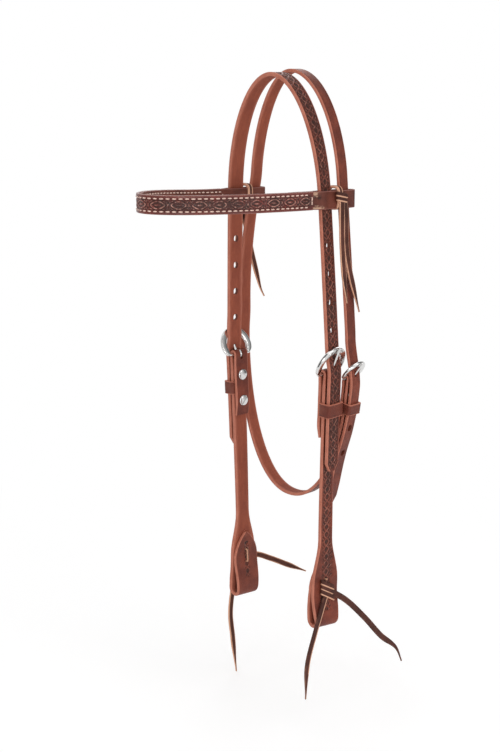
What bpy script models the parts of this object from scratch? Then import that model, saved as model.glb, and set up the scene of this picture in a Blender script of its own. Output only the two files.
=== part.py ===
"""Western headstall: a crown strap and a throat latch strap over the poll, a browband looped
round both, cheek straps with buckles and keepers, folded bit ends and leather ties.

Metres, +Z up. The origin is on the underside of the crown strap, at the poll. The horse
faces -Y, and its left side, the near side, is +X.
"""
import math

import bmesh
import bpy
from mathutils import Matrix, Vector

# The near side is the horse's left, and the far side its right
NEAR, FAR = 1, -1
SIDE_NAMES = {NEAR: "left", FAR: "right"}

# Straps: leather widths and thicknesses
STRAP_WIDTH = 0.0159
STRAP_THICK = 0.0036
THROAT_WIDTH = 0.0127
THROAT_THICK = 0.0030
STRAP_BEVEL = 0.0006
CLEARANCE = 0.0003
RUN_STEPS = 8
SMOOTH_STEPS = 3
CUT_REACH_SHARE = 3

# Crown arch, from the poll down to the cheek buckles
ARCH_HALF_WIDTH = 0.0506
ARCH_HEIGHT = 0.103
ARCH_FLARE_SHARE = 0.0565
ARCH_LEAN_SHARE = 0.035
CROWN_FORWARD = 0.0047
CROWN_TURN = math.radians(6.5)
ARCH_STEPS = 15
CROWN_RUN_STEPS = 7
BUCKLE_DROP = 0.2607

# Throat latch strap, behind the crown strap
THROAT_RISE = 0.0035
THROAT_ARCH_HALF_WIDTH = 0.0468
THROAT_ARCH_HEIGHT = 0.095
THROAT_FLARE_SHARE = 0.08
THROAT_BACK = 0.0182
THROAT_BACK_DRIFT = 0.0058
THROAT_TURN = math.radians(3)
THROAT_LOOP_HEIGHT = 0.1498
THROAT_LOOP_HALF_WIDTH = 0.0682
THROAT_LOOP_SQUARE_SHARE = 2.15
THROAT_LOOP_STEPS = 15
LEVEL_STEPS = 400
THROAT_BUCKLE_STAGGER = 0.0065
THROAT_BUCKLE_DROP = BUCKLE_DROP + THROAT_BUCKLE_STAGGER
THROAT_LOOP_RISE = 0.0260
THROAT_LOOP_TOP_DROP = THROAT_BUCKLE_DROP - THROAT_LOOP_RISE
THROAT_BUCKLE_BACK = 0.0260
THROAT_BOTTOM_BACK = 0.0215
THROAT_FAR_BACK = 0.0240
THROAT_FAR_OUT = 0.0030
THROAT_FAR_DIP = 0.0055

# Leaves of a buckle turn, counted from the buckle's bar down the strap
BAR_RADIUS = 0.0015
BAR_CLEARANCE = 0.0003
TURN_THICK = 0.0024
TURN_STEPS = 8
TURN_SHARES = (0.35, 0.7)
BACK_LEAF_SHARES = (0.33, 0.67, 1)
LEAF_END_SHARES = (0.5, 1)
LEAF_SETTLE = 0.012
LEAF_GAP = 0.0017
BACK_LEAF_THICK = 0.0030
BACK_LEAF_END_THICK = 0.0022
BACK_LEAF_LENGTH = 0.060
HEAD_GAP = 0.0020
SCREW_PITCH = 0.0254
FIRST_SCREW = 0.0202
BILLET_LENGTH = 0.091
BILLET_POINT = 0.0075
BILLET_TIP_SHARE = 0.45
CROWN_CROSS_START = 0.0200
TONGUE_SLOT_REACH = 0.0052
TONGUE_SLOT_TOP = 0.008

THROAT_BAR_RADIUS = 0.0013
THROAT_TURN_THICK = 0.0021
THROAT_LEAF_GAP = 0.0015
THROAT_BACK_LEAF_THICK = 0.0026
THROAT_BACK_LEAF_END_THICK = 0.0020
THROAT_BACK_LEAF_LENGTH = 0.054
THROAT_HEAD_GAP = 0.0019
THROAT_FIRST_SCREW = 0.0150
THROAT_CROSS_START = 0.040
THROAT_CROSS_END = 0.006
# The throat billet hangs away from the loop: (down from the lower screw in shares of what is
# left of it there, out from the loop in shares of its offset over the leaf, forward in shares
# of its length)
THROAT_BILLET_RISE = 0.0103
THROAT_BILLET_LENGTH = THROAT_LOOP_HEIGHT - THROAT_LOOP_RISE - THROAT_BILLET_RISE
THROAT_BILLET_SHARES = ((0.1477, 1.059, 0.013), (0.406, 0.818, 0.005), (0.6327, 1.411, 0),
                        (0.8049, 2.597, 0), (0.977, 4.925, 0))

# Cheek straps, from the buckle's bar to the bit end's fold
CHEEK_LENGTH = 0.2460
CHEEK_TOP_X = 0.0607
CHEEK_TOP_Y = 0.0043
CHEEK_INWARD = 0.0052
CHEEK_INWARD_SHARE = 2.2
CHEEK_BACK_SHARE = 0.0145
CHEEK_TURN_TOP = math.radians(2.5)
CHEEK_TURN_FOOT = math.radians(-2.5)
BIT_END_LENGTH = 0.086
BIT_END_WIDTH = 0.0318
BIT_FOLD_WIDTH = 0.0255
BIT_FLARE_LENGTH = 0.042
BIT_FLARE_STEPS = 7
BIT_FOLD_RADIUS = 0.0050
BIT_FOLD_STEPS = 9
BIT_ROUNDING = 0.022
BIT_FLAP_THICK = 0.0032
BIT_FLAP_LENGTH = 0.065
BIT_FLAP_POINT = 0.028
BIT_FLAP_TIP_WIDTH = 0.003
BIT_FLAP_STEPS = 12
BIT_FLAP_CLOSED_SHARE = 0.42
BIT_BEND_START = 0.050
BIT_BEND_RADIUS = 0.42
BIT_BULGE_LENGTH = 0.036
BIT_BULGES = {NEAR: 0.0060, FAR: 0.0015}

# Holes
HOLE_PITCH = 0.0254
HOLE_RISES = {NEAR: 0.0397, FAR: 0.0356}
HOLE_LENGTH = 0.0064
HOLE_WIDTH = 0.0052
CROWN_HOLES = 4
THROAT_HOLE_DROP = 0.047
THROAT_HOLES = 2
HOLE_SIDES = 12

# Buckles
FRAME_HALF_WIDTH = 0.0162
FRAME_LENGTH = 0.0252
FRAME_RIM = 0.0045
FRAME_THICK = 0.0030
FRAME_TILT = math.radians(22)
FRAME_SWING = math.radians(4)
TONGUE_RADIUS = 0.00125
TONGUE_SWING = math.radians(4)
THROAT_FRAME_HALF_WIDTH = 0.0114
THROAT_FRAME_LENGTH = 0.0192
THROAT_FRAME_RIM = 0.0040
THROAT_FRAME_THICK = 0.0026
THROAT_FRAME_TILT = math.radians(35)
THROAT_TONGUE_RADIUS = 0.00105
FRAME_SIDES = 8
FRAME_ARCH_STEPS = 18
FRAME_SHOULDER_SHARE = 0.32
FRAME_BAR_SHARE = 0.80
FRAME_CORNER_SHARE = 0.10
FRAME_NECK_SHARE = 0.5
FRAME_WAIST_SHARE = 0.7
TONGUE_WRAP = math.radians(285)
TONGUE_WRAP_STEPS = 12
TONGUE_SIDES = 8
TONGUE_ROOM = 0.00035
TONGUE_TIP_PAST = 0.0012
TONGUE_TIP_SHARE = 0.6
TONGUE_SHAFT_SHARES = (0.2, 0.55, 0.9, 1)

# Screws: a barrel with a flat head outside, and a slotted screw from inside
HEAD_RADIUS = 0.0051
POST_HEAD_THICK = 0.0013
BARREL_RADIUS = 0.0024
BORE_RADIUS = 0.00175
SHANK_RADIUS = 0.0014
SCREW_HEAD_THICK = 0.0017
HEAD_EDGE_SHARE = 0.55
HEAD_CROWN_SHARE = 0.70
SHANK_LENGTH = 0.0055
BORE_CAP = 0.0006
SLOT_WIDTH = 0.0012
SLOT_DEPTH = 0.0007
SCREW_SIDES = 16
THROAT_HEAD_RADIUS = 0.0045

# Keepers
KEEPER_HEIGHT = 0.0127
KEEPER_THICK = 0.0020
KEEPER_INNER_THICK = 0.0011
KEEPER_SIDE_ROOM = 0.0005
KEEPER_FRONT_ROOM = 0.0004
KEEPER_CORNER_SHARE = 0.45
KEEPER_CORNER_STEPS = 4
THROAT_KEEPER_HEIGHT = 0.0102
THROAT_KEEPER_THICK = 0.0018
THROAT_KEEPER_INNER_THICK = 0.0009

# Browband
BROW_DROP = 0.1052
BROW_RISE_SHARE = 0.0155
BROW_FAR_SAG = 0.0042
BROW_SAG_START = 0.147
BROW_HEIGHT = 0.0159
BROW_HALF_WIDTH = 0.0596
BROW_DEPTH = 0.157
BROW_FACE_THICK = 0.0026
BROW_LINING_THICK = 0.0022
BROW_TUCK_THICK = 0.0018
BROW_FACE_END = 0.0195
BROW_TUCK_LENGTH = 0.014
BROW_TUCK_SHARES = (0, 0.5, 1)
BROW_FACE_STEPS = 44
BROW_FRONT_STEPS = 40
BROW_LOOP_ROOM = 0.0011
BROW_LOOP_BACK_ROOM = 0.0030
BROW_LOOP_STEPS = 3
BROW_LOOP_SETTLE = 0.005

# Ties
TIE_WIDTH = 0.0058
TIE_THICK = 0.0023
TIE_TIP_WIDTH = 0.0015
TIE_BEVEL = 0.0003
BROW_TIE_BACK = 0.0110
BROW_KNOT_HEIGHT = 0.0105
BROW_KNOT_WIDTH = 0.0150
BROW_KNOT_THICK = 0.0040
BIT_HOLE_RADIUS = 0.0017
BIT_LACE_RADIUS = 0.0011
LACE_BEVEL_SHARE = 0.4
BIT_HOLE_PITCH = 0.012
BIT_HOLE_RISE = 0.0467
BIT_KNOT_HEIGHT = 0.0180
BIT_KNOT_WIDTH = 0.0165
BIT_KNOT_THICK = 0.0042
BIT_KNOT_DROP = 0.0035
KNOT_WRAPS = 3
KNOT_END_SHARE = 0.86
KNOT_GROOVE_SHARE = 0.72
TIE_TAPER_SHARE = 0.7
KNOT_SLOPE_SHARE = 0.25
# Tails: (outward, backward, down) from the knot, in shares of each tail's length
BROW_TAIL_FRONT = 0.095
BROW_TAIL_BACK = 0.105
BROW_TAIL_SHORT = 0.085
BROW_TAILS = {
    NEAR: ((BROW_TAIL_FRONT, ((0, 0, 0), (0.006, 0.002, 0.369), (0.011, 0.016, 0.576),
                              (0.016, 0.043, 0.795), (0.026, 0.067, 0.968))),
           (BROW_TAIL_BACK, ((0, 0.03, 0), (-0.023, 0.075, 0.10), (-0.020, 0.082, 0.339),
                             (-0.013, 0.092, 0.472), (0.001, 0.115, 0.615), (0.015, 0.159, 0.783),
                             (0.015, 0.228, 0.973)))),
    FAR: ((BROW_TAIL_BACK, ((0, 0, 0), (0.028, 0.129, 0.29), (0.04, 0.229, 0.594),
                            (0.04, 0.286, 0.766), (0.04, 0.34, 0.909), (0.04, 0.376, 0.966))),
          (BROW_TAIL_SHORT, ((0, 0, 0), (0.04, 0.04, 0.35), (0.06, 0.05, 0.7), (0.06, 0.06, 1))))}
BIT_TAIL_LONG = 0.150
BIT_TAIL_FRONT = 0.125
BIT_TAIL_SHORT = 0.110
BIT_TAILS = {
    NEAR: ((BIT_TAIL_LONG, ((0, 0, 0), (0.014, 0.12, 0.08), (0.022, 0.33, 0.275), (0.030, 0.50, 0.46),
                            (0.037, 0.66, 0.605), (0.037, 0.71, 0.705))),
           (BIT_TAIL_SHORT, ((0, 0, 0), (0.022, -0.10, 0.17), (0.042, -0.19, 0.32),
                             (0.044, -0.28, 0.56), (0.036, -0.295, 0.90)))),
    FAR: ((BIT_TAIL_SHORT, ((0, 0, 0), (0, 0.20, 0.01), (0, 0.577, 0.235), (0, 0.88, 0.393))),
          (BIT_TAIL_FRONT, ((0, 0, 0), (0, -0.077, 0.257), (0.004, -0.10, 0.457),
                            (0.004, -0.077, 0.67), (0.004, -0.037, 0.99))))}

# Derived places
CROWN_APEX = Vector((0, -CROWN_FORWARD, STRAP_THICK / 2))
THROAT_APEX = Vector((0, THROAT_BACK, THROAT_RISE + THROAT_THICK / 2))
BILLET_OFFSET = STRAP_THICK + HEAD_GAP
THROAT_BILLET_OFFSET = THROAT_THICK + THROAT_HEAD_GAP
UP = Vector((0, 0, 1))

LEATHER_RED = (0.19, 0.055, 0.032, 1)
LEATHER_DARK = (0.085, 0.028, 0.022, 1)
LEATHER_LINING = (0.30, 0.105, 0.055, 1)
TIE_BROWN = (0.12, 0.045, 0.030, 1)
BRIGHT_METAL = (0.80, 0.80, 0.80, 1)


def clear_scene():
    for old in list(bpy.data.objects):
        bpy.data.objects.remove(old, do_unlink=True)


def make_material(name, colour, roughness, metallic=0.0):
    material = bpy.data.materials.new(name)
    material.use_nodes = True
    shader = material.node_tree.nodes["Principled BSDF"]
    shader.inputs["Base Color"].default_value = colour
    shader.inputs["Roughness"].default_value = roughness
    shader.inputs["Metallic"].default_value = metallic
    return material


def ease(share):
    """Goes from 0 to 1 with level ends."""
    share = min(max(share, 0), 1)
    return share * share * (3 - 2 * share)


def between(start, end, share):
    return start + (end - start) * share


def smooth_line(points, steps):
    """A line through all the points, with this many steps between each two."""
    padded = [points[0] * 2 - points[1], *points, points[-1] * 2 - points[-2]]
    line = []
    for before, start, end, after in zip(padded, padded[1:], padded[2:], padded[3:]):
        for step in range(steps):
            t = step / steps
            line.append(start + (end - before) * (t / 2)
                        + (before * 2 - start * 5 + end * 4 - after) * (t * t / 2)
                        + (start * 3 - before - end * 3 + after) * (t ** 3 / 2))
    line.append(points[-1])
    return line


def mirrored(stations):
    """The far side's copy of a strap's stations."""
    flip = Vector((-1, 1, 1))
    return [(centre * flip, across * flip, width, thick) for centre, across, width, thick in stations]


def place_mesh(name, rings, material, closed=False, parent=None):
    """Makes one closed solid from rings of points, joined in order."""
    mesh = bpy.data.meshes.new(name)
    shape = bmesh.new()
    add_rings(shape, rings, closed)
    shape.to_mesh(mesh)
    shape.free()
    return place_object(name, mesh, material, parent)


def add_rings(shape, rings, closed=False):
    start = len(shape.faces)
    corners = [[shape.verts.new(point) for point in ring] for ring in rings]
    count = len(corners[0])
    pairs = list(zip(corners, corners[1:]))
    if closed:
        pairs.append((corners[-1], corners[0]))
    for first, second in pairs:
        for i in range(count):
            j = (i + 1) % count
            shape.faces.new((first[i], first[j], second[j], second[i]))
    if not closed:
        shape.faces.new(corners[0])
        shape.faces.new(corners[-1])
    shape.faces.ensure_lookup_table()
    bmesh.ops.recalc_face_normals(shape, faces=shape.faces[start:])


def place_object(name, mesh, material, parent=None):
    obj = bpy.data.objects.new(name, mesh)
    bpy.context.scene.collection.objects.link(obj)
    if material:
        obj.data.materials.append(material)
    mesh.shade_smooth()
    mesh.set_sharp_from_angle(angle=math.radians(30))
    if parent:
        obj.parent = parent
    return obj


def place_empty(name, matrix, parent=None):
    empty = bpy.data.objects.new(name, None)
    bpy.context.scene.collection.objects.link(empty)
    empty.parent = parent
    empty.matrix_world = matrix
    return empty


def strap_rings(stations, bevel):
    """Bevelled cross-sections along a strap. A station is a centre, the direction of the
    strap's width there, its width and its thickness."""
    rings = []
    last = len(stations) - 1
    for i, (centre, across, width, thick) in enumerate(stations):
        along = (stations[min(i + 1, last)][0] - stations[max(i - 1, 0)][0]).normalized()
        across = (across - along * along.dot(across)).normalized()
        out = along.cross(across)
        half, rise = width / 2, thick / 2
        cut = min(bevel, half / 2, rise / 2)
        outline = ((half, rise - cut), (half - cut, rise), (cut - half, rise), (-half, rise - cut),
                   (-half, cut - rise), (cut - half, -rise), (half - cut, -rise), (half, cut - rise))
        rings.append([centre + across * x + out * y for x, y in outline])
    return rings


def make_strap(name, stations, material, bevel=STRAP_BEVEL):
    return place_mesh(name, strap_rings(stations, bevel), material)


def add_prism(shape, matrix, outline, low, high):
    """A straight prism on an outline in the matrix's x and y, from low to high along its z."""
    add_rings(shape, [[matrix @ Vector((x, y, level)) for x, y in outline] for level in (low, high)])


def stadium(length, width, sides=HOLE_SIDES):
    """An oval with straight flanks, its length along x."""
    radius, straight = width / 2, (length - width) / 2
    outline = []
    for i in range(sides):
        angle = math.tau * (i + 0.5) / sides
        x, y = radius * math.cos(angle), radius * math.sin(angle)
        outline.append((x + math.copysign(straight, x), y))
    return outline


def cut_away(obj, name, shape, operation="DIFFERENCE"):
    """Cuts a helper shape out of the object, or joins it on."""
    mesh = bpy.data.meshes.new(name)
    shape.to_mesh(mesh)
    shape.free()
    cutter = place_object(name, mesh, None)
    cutter.hide_render = True
    cutter.display_type = "WIRE"
    modifier = obj.modifiers.new(name, "BOOLEAN")
    modifier.operation = operation
    modifier.object = cutter
    modifier.solver = "EXACT"


def side_matrix(matrix):
    """The matrix turned so that its z axis points outward, for holes through a strap."""
    return matrix @ Matrix(((0, 0, 1, 0), (0, 1, 0, 0), (1, 0, 0, 0), (0, 0, 0, 1)))


def frame_matrix(side, centre, down, turn):
    """Axes at a near-side point of a strap: x outward, y across and z up the strap."""
    across = Vector((-math.sin(turn), math.cos(turn), 0))
    across = (across - down * down.dot(across)).normalized()
    out = across.cross(-down)
    flip = Vector((side, 1, 1))
    out, up, centre = out * flip, -down * flip, centre * flip
    axes = Matrix((out, up.cross(out), up)).transposed().to_4x4()
    axes.translation = centre
    return axes


# Crown strap and cheek straps


def cheek_centre(drop, side=NEAR):
    """Middle of a cheek strap's outer leaf, this far below the buckle's bar, as on the near
    side. The bit end bends a little forward and bulges from its line, on each side differently."""
    share = min(drop / CHEEK_LENGTH, 1)
    level = min(drop, CHEEK_LENGTH - BIT_FLAP_LENGTH)
    inward = CHEEK_INWARD * (1 - (1 - max(share, 0)) ** CHEEK_INWARD_SHARE)
    inward += min(share, 0) * CHEEK_INWARD * CHEEK_INWARD_SHARE
    inward -= BIT_BULGES[side] * ease((drop - CHEEK_LENGTH) / BIT_BULGE_LENGTH + 1)
    bend = max(drop - CHEEK_LENGTH + BIT_BEND_START, 0) ** 2 / (2 * BIT_BEND_RADIUS)
    return Vector((CHEEK_TOP_X - inward, CHEEK_TOP_Y + CHEEK_BACK_SHARE * level - bend, -BUCKLE_DROP - drop))


def cheek_turn(drop):
    turned = ease((drop - BACK_LEAF_LENGTH) / (CHEEK_LENGTH - BIT_END_LENGTH - BACK_LEAF_LENGTH))
    return between(CHEEK_TURN_TOP, CHEEK_TURN_FOOT, turned)


def cheek_matrix(drop, side=NEAR, offset=0.0):
    """Axes on the cheek strap: x outward, y across, z up, moved outward by the offset."""
    down = cheek_centre(drop + CLEARANCE, side) - cheek_centre(drop - CLEARANCE, side)
    if drop > CHEEK_LENGTH - BIT_FLAP_LENGTH:
        down.x = 0
    matrix = frame_matrix(side, cheek_centre(drop, side), down.normalized(), cheek_turn(drop))
    return matrix @ Matrix.Translation((offset, 0, 0))


def station_on(matrix, offset, width, thick, rise=0.0):
    """A strap station on these axes."""
    return matrix @ Vector((offset, 0, rise)), matrix.col[1].to_3d(), width, thick


BAR_OFFSET = -(STRAP_THICK + LEAF_GAP) / 2
BACK_LEAF_OFFSET = -(STRAP_THICK + BACK_LEAF_THICK) / 2 - LEAF_GAP
THROAT_BAR_OFFSET = -(THROAT_THICK + THROAT_LEAF_GAP) / 2
THROAT_BACK_LEAF_OFFSET = -(THROAT_THICK + THROAT_BACK_LEAF_THICK) / 2 - THROAT_LEAF_GAP


def crown_centre(drop):
    """Middle of the near half of the crown strap, this far below its middle at the poll."""
    rest = max(1 - drop / ARCH_HEIGHT, 0)
    reach = ARCH_HALF_WIDTH * math.sqrt(1 - rest * rest) + ARCH_FLARE_SHARE * drop
    return CROWN_APEX + Vector((reach, ARCH_LEAN_SHARE * drop, -drop))


def crown_turn(drop):
    """How far the crown strap's edge is turned in here, from none at the poll."""
    settled = ease((drop - BROW_DROP) / (BUCKLE_DROP - CROWN_CROSS_START - BROW_DROP))
    return between(CROWN_TURN, CHEEK_TURN_TOP, settled) * ease(drop / ARCH_HEIGHT)


def crown_across(drop):
    turn = crown_turn(drop)
    return Vector((-math.sin(turn), math.cos(turn), 0))


def crown_half():
    """Stations of the near half of the crown strap, from the poll to the billet's tip."""
    half = []
    for step in range(ARCH_STEPS + 1):
        drop = ARCH_HEIGHT * (1 - math.cos(math.pi / 2 * step / ARCH_STEPS))
        half.append((crown_centre(drop), crown_across(drop), STRAP_WIDTH, STRAP_THICK))
    cross_drop = BUCKLE_DROP + CROWN_APEX.z - CROWN_CROSS_START
    bar = cheek_matrix(0)
    top = bar @ Vector((0, 0, CROWN_CROSS_START))
    start = crown_centre(cross_drop)
    pull = min(0, crossing_limit() - (start - top).dot(bar.col[0].to_3d()))
    for step in range(1, CROWN_RUN_STEPS + 1):
        share = step / CROWN_RUN_STEPS
        drop = between(ARCH_HEIGHT, cross_drop, share)
        centre = crown_centre(drop) + bar.col[0].to_3d() * (pull * ease(share) ** 2)
        half.append((centre, crown_across(drop), STRAP_WIDTH, STRAP_THICK))
    crossing = half[-1][0]
    for step in range(1, RUN_STEPS + 1):
        share = step / RUN_STEPS
        matrix = cheek_matrix(between(-CROWN_CROSS_START, 0, share))
        start_offset = (crossing - top).dot(bar.col[0].to_3d())
        offset = between(start_offset, BILLET_OFFSET, ease(share))
        half.append(station_on(matrix, offset, STRAP_WIDTH, STRAP_THICK))
    for step in range(1, RUN_STEPS + 1):
        drop = (BILLET_LENGTH - BILLET_POINT) * step / RUN_STEPS
        half.append(station_on(cheek_matrix(drop), BILLET_OFFSET, STRAP_WIDTH, STRAP_THICK))
    tip = cheek_matrix(BILLET_LENGTH)
    half.append(station_on(tip, BILLET_OFFSET, STRAP_WIDTH * BILLET_TIP_SHARE, STRAP_THICK))
    return half


def crossing_limit():
    """How far out the crown strap may lie where it passes inside the frame's rim."""
    reach = FRAME_LENGTH - FRAME_RIM / 2
    rim = BAR_OFFSET + reach * math.sin(FRAME_TILT) - FRAME_THICK / 2 / math.cos(FRAME_TILT)
    return rim - STRAP_THICK / 2 - CLEARANCE


def tongue_wedge(shape, matrix, frame_tilt, bar_radius, tongue_radius, reach, swing):
    """The room that a tongue needs to pass through the billet and lift a little."""
    offset = bar_radius + BAR_CLEARANCE + tongue_radius
    room = tongue_radius + TONGUE_ROOM
    outline = []
    for height, tilt, end in ((offset - room, 0, 0), (offset - room, 0, 1),
                              (offset + room, swing, 1), (offset + room, swing, 0)):
        along = between(offset, reach, end)
        lean = frame_tilt + tilt
        outline.append((height * math.cos(lean) + along * math.sin(lean),
                        along * math.cos(lean) - height * math.sin(lean)))
    turned = matrix @ Matrix(((1, 0, 0, 0), (0, 0, -1, 0), (0, 1, 0, 0), (0, 0, 0, 1)))
    add_prism(shape, turned, outline, -room, room)


def make_crown_strap(material):
    near = crown_half()
    stations = near[::-1] + mirrored(near)[1:]
    strap = make_strap("crown_strap", stations, material)
    holes = bmesh.new()
    for side in (NEAR, FAR):
        for number in range(CROWN_HOLES):
            drop = BUCKLE_DROP + CROWN_APEX.z - HOLE_RISES[side] - HOLE_PITCH * number
            down = (crown_centre(drop + CLEARANCE) - crown_centre(drop - CLEARANCE)).normalized()
            matrix = frame_matrix(side, crown_centre(drop), down, crown_turn(drop))
            punch = side_matrix(matrix)
            add_prism(holes, punch, stadium(HOLE_LENGTH, HOLE_WIDTH), -STRAP_WIDTH / 2, STRAP_WIDTH / 2)
        bar = cheek_matrix(0, side, BAR_OFFSET)
        tongue_wedge(holes, bar, FRAME_TILT, BAR_RADIUS, TONGUE_RADIUS,
                     FRAME_LENGTH - FRAME_RIM, FRAME_SWING + TONGUE_SWING)
    cut_away(strap, "crown_strap_holes", holes)
    return strap


def turn_stations(matrix, bar_offset, radius, width, thick):
    """Stations of a strap folded over the buckle's bar, from the outer leaf to the inner."""
    stations = []
    for step in range(TURN_STEPS + 1):
        angle = math.pi * step / TURN_STEPS
        offset = bar_offset + radius * math.cos(angle)
        stations.append(station_on(matrix, offset, width, thick, radius * math.sin(angle)))
    return stations


def flap_offset(share):
    """Offset of the bit end's flap, from its tip (0) to the fold (1)."""
    closed = (STRAP_THICK + BIT_FLAP_THICK) / 2 + CLEARANCE
    opened = (share - BIT_FLAP_CLOSED_SHARE) / (1 - BIT_FLAP_CLOSED_SHARE)
    return -between(closed, 2 * BIT_FOLD_RADIUS, ease(opened))


def flap_width(rise):
    """Width of the pointed flap, this far below its tip."""
    if rise >= BIT_FLAP_POINT:
        return BIT_END_WIDTH
    half = BIT_END_WIDTH / 2
    radius = (BIT_FLAP_POINT ** 2 + half ** 2) / (2 * half)
    arch = math.sqrt(radius ** 2 - (BIT_FLAP_POINT - rise) ** 2) - radius + half
    return max(2 * arch, BIT_FLAP_TIP_WIDTH)


def bit_end_width(drop):
    """Width of the cheek strap's outer leaf, this far below the bar."""
    flare_start = CHEEK_LENGTH - BIT_END_LENGTH
    width = between(STRAP_WIDTH, BIT_END_WIDTH, ease((drop - flare_start) / BIT_FLARE_LENGTH))
    rounding = max(drop - (CHEEK_LENGTH - BIT_ROUNDING), 0) / BIT_ROUNDING
    return width - (BIT_END_WIDTH - BIT_FOLD_WIDTH) * rounding ** 2


def cheek_stations(side):
    """Stations of a cheek strap, from the flap's tip round the bit fold, up the outer leaf,
    over the buckle's bar and down the back leaf."""
    stations = []
    fold_drop = CHEEK_LENGTH - STRAP_THICK / 2 - BIT_FOLD_RADIUS
    tip_drop = CHEEK_LENGTH - BIT_FLAP_LENGTH
    for step in range(BIT_FLAP_STEPS):
        share = step / BIT_FLAP_STEPS
        drop = between(tip_drop, fold_drop, share)
        width = min(flap_width(drop - tip_drop), bit_end_width(drop + BIT_FLARE_LENGTH * (1 - share)))
        stations.append(station_on(cheek_matrix(drop, side), flap_offset(share), width, BIT_FLAP_THICK))
    fold = cheek_matrix(fold_drop, side)
    for step in range(BIT_FOLD_STEPS + 1):
        angle = math.pi * (1 + step / BIT_FOLD_STEPS)
        offset = BIT_FOLD_RADIUS * (math.cos(angle) - 1)
        rise = BIT_FOLD_RADIUS * math.sin(angle)
        width = bit_end_width(fold_drop - rise)
        thick = between(BIT_FLAP_THICK, STRAP_THICK, step / BIT_FOLD_STEPS)
        stations.append(station_on(fold, offset, width, thick, rise))
    flare_start = CHEEK_LENGTH - BIT_END_LENGTH
    for step in range(1, BIT_FLARE_STEPS + 1):
        drop = between(fold_drop, flare_start + BIT_FLARE_LENGTH, step / BIT_FLARE_STEPS)
        stations.append(station_on(cheek_matrix(drop, side), 0, bit_end_width(drop), STRAP_THICK))
    for step in range(1, BIT_FLARE_STEPS + 1):
        drop = flare_start + BIT_FLARE_LENGTH * (1 - step / BIT_FLARE_STEPS)
        stations.append(station_on(cheek_matrix(drop, side), 0, bit_end_width(drop), STRAP_THICK))
    for step in range(1, RUN_STEPS + 1):
        drop = between(flare_start, LEAF_SETTLE, step / RUN_STEPS)
        stations.append(station_on(cheek_matrix(drop, side), 0, STRAP_WIDTH, STRAP_THICK))
    stations += buckle_turn(lambda drop: cheek_matrix(drop, side), BAR_RADIUS, BAR_OFFSET, BACK_LEAF_OFFSET,
                            STRAP_WIDTH, (STRAP_THICK, TURN_THICK, BACK_LEAF_THICK, BACK_LEAF_END_THICK),
                            (FIRST_SCREW + SCREW_PITCH + HEAD_RADIUS, BACK_LEAF_LENGTH))
    return stations


def buckle_turn(matrix_at, bar_radius, bar_offset, back_offset, width, thicks, back_drops):
    """Stations from the outer leaf over the bar and down the back leaf to its end."""
    leaf_thick, turn_thick, back_thick, end_thick = thicks
    flat_end, leaf_end = back_drops
    radius = bar_radius + BAR_CLEARANCE + turn_thick / 2
    stations = []
    for share in TURN_SHARES:
        offset = between(0, bar_offset + radius, ease(share))
        matrix = matrix_at(LEAF_SETTLE * (1 - share))
        stations.append(station_on(matrix, offset, width, between(leaf_thick, turn_thick, share)))
    stations += turn_stations(matrix_at(0), bar_offset, radius, width, turn_thick)
    for share in (*TURN_SHARES, 1):
        offset = between(bar_offset - radius, back_offset, ease(share))
        matrix = matrix_at(LEAF_SETTLE * share)
        stations.append(station_on(matrix, offset, width, between(turn_thick, back_thick, share)))
    for share in BACK_LEAF_SHARES:
        matrix = matrix_at(between(LEAF_SETTLE, flat_end, share))
        stations.append(station_on(matrix, back_offset, width, back_thick))
    end_offset = -(leaf_thick + end_thick) / 2 - 2 * CLEARANCE
    for share in LEAF_END_SHARES:
        offset = between(back_offset, end_offset, ease(share))
        thick = between(back_thick, end_thick, share)
        stations.append(station_on(matrix_at(between(flat_end, leaf_end, share)), offset, width, thick))
    return stations


def cut_turn_slot(shape, bar, bar_radius, turn_thick, tongue_radius):
    """The slot in a buckle turn that lets the tongue stand on the bar."""
    reach = bar_radius + BAR_CLEARANCE + turn_thick + CLEARANCE / 2
    outline = stadium(TONGUE_SLOT_REACH + TONGUE_SLOT_TOP, 2 * (tongue_radius + TONGUE_ROOM))
    middle = Matrix.Translation((0, 0, (TONGUE_SLOT_TOP - TONGUE_SLOT_REACH) / 2))
    add_prism(shape, side_matrix(bar @ middle), outline, -2 * reach, reach)


def cut_screw_holes(shape, matrix_at, side, drops, low, high):
    circle = stadium(2 * (BARREL_RADIUS + CLEARANCE), 2 * (BARREL_RADIUS + CLEARANCE))
    for drop in drops:
        add_prism(shape, side_matrix(matrix_at(drop, side)), circle, low, high)


def make_cheek_strap(side, material):
    strap = make_strap("cheek_strap_" + SIDE_NAMES[side], cheek_stations(side), material)
    holes = bmesh.new()
    cut_turn_slot(holes, cheek_matrix(0, side, BAR_OFFSET), BAR_RADIUS, TURN_THICK, TONGUE_RADIUS)
    cut_screw_holes(holes, cheek_matrix, side, (FIRST_SCREW, FIRST_SCREW + SCREW_PITCH),
                    -CUT_REACH_SHARE * STRAP_THICK, STRAP_THICK)
    circle = stadium(2 * BIT_HOLE_RADIUS, 2 * BIT_HOLE_RADIUS)
    for drop in bit_hole_drops():
        add_prism(holes, side_matrix(cheek_matrix(drop, side)), circle,
                  -CUT_REACH_SHARE * BIT_FOLD_RADIUS, STRAP_THICK)
    cut_away(strap, strap.name + "_holes", holes)
    return strap


def bit_hole_drops():
    low = CHEEK_LENGTH - BIT_HOLE_RISE + BIT_HOLE_PITCH
    return low - BIT_HOLE_PITCH, low


# Throat latch strap


def throat_centre(drop):
    """Middle of the near half of the throat latch strap's arch, this far below its top."""
    rest = max(1 - drop / THROAT_ARCH_HEIGHT, 0)
    bend = math.sqrt(1 - rest * rest)
    reach = THROAT_ARCH_HALF_WIDTH * bend + THROAT_FLARE_SHARE * drop
    return THROAT_APEX + Vector((reach, THROAT_BACK_DRIFT * bend, -drop))


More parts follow.
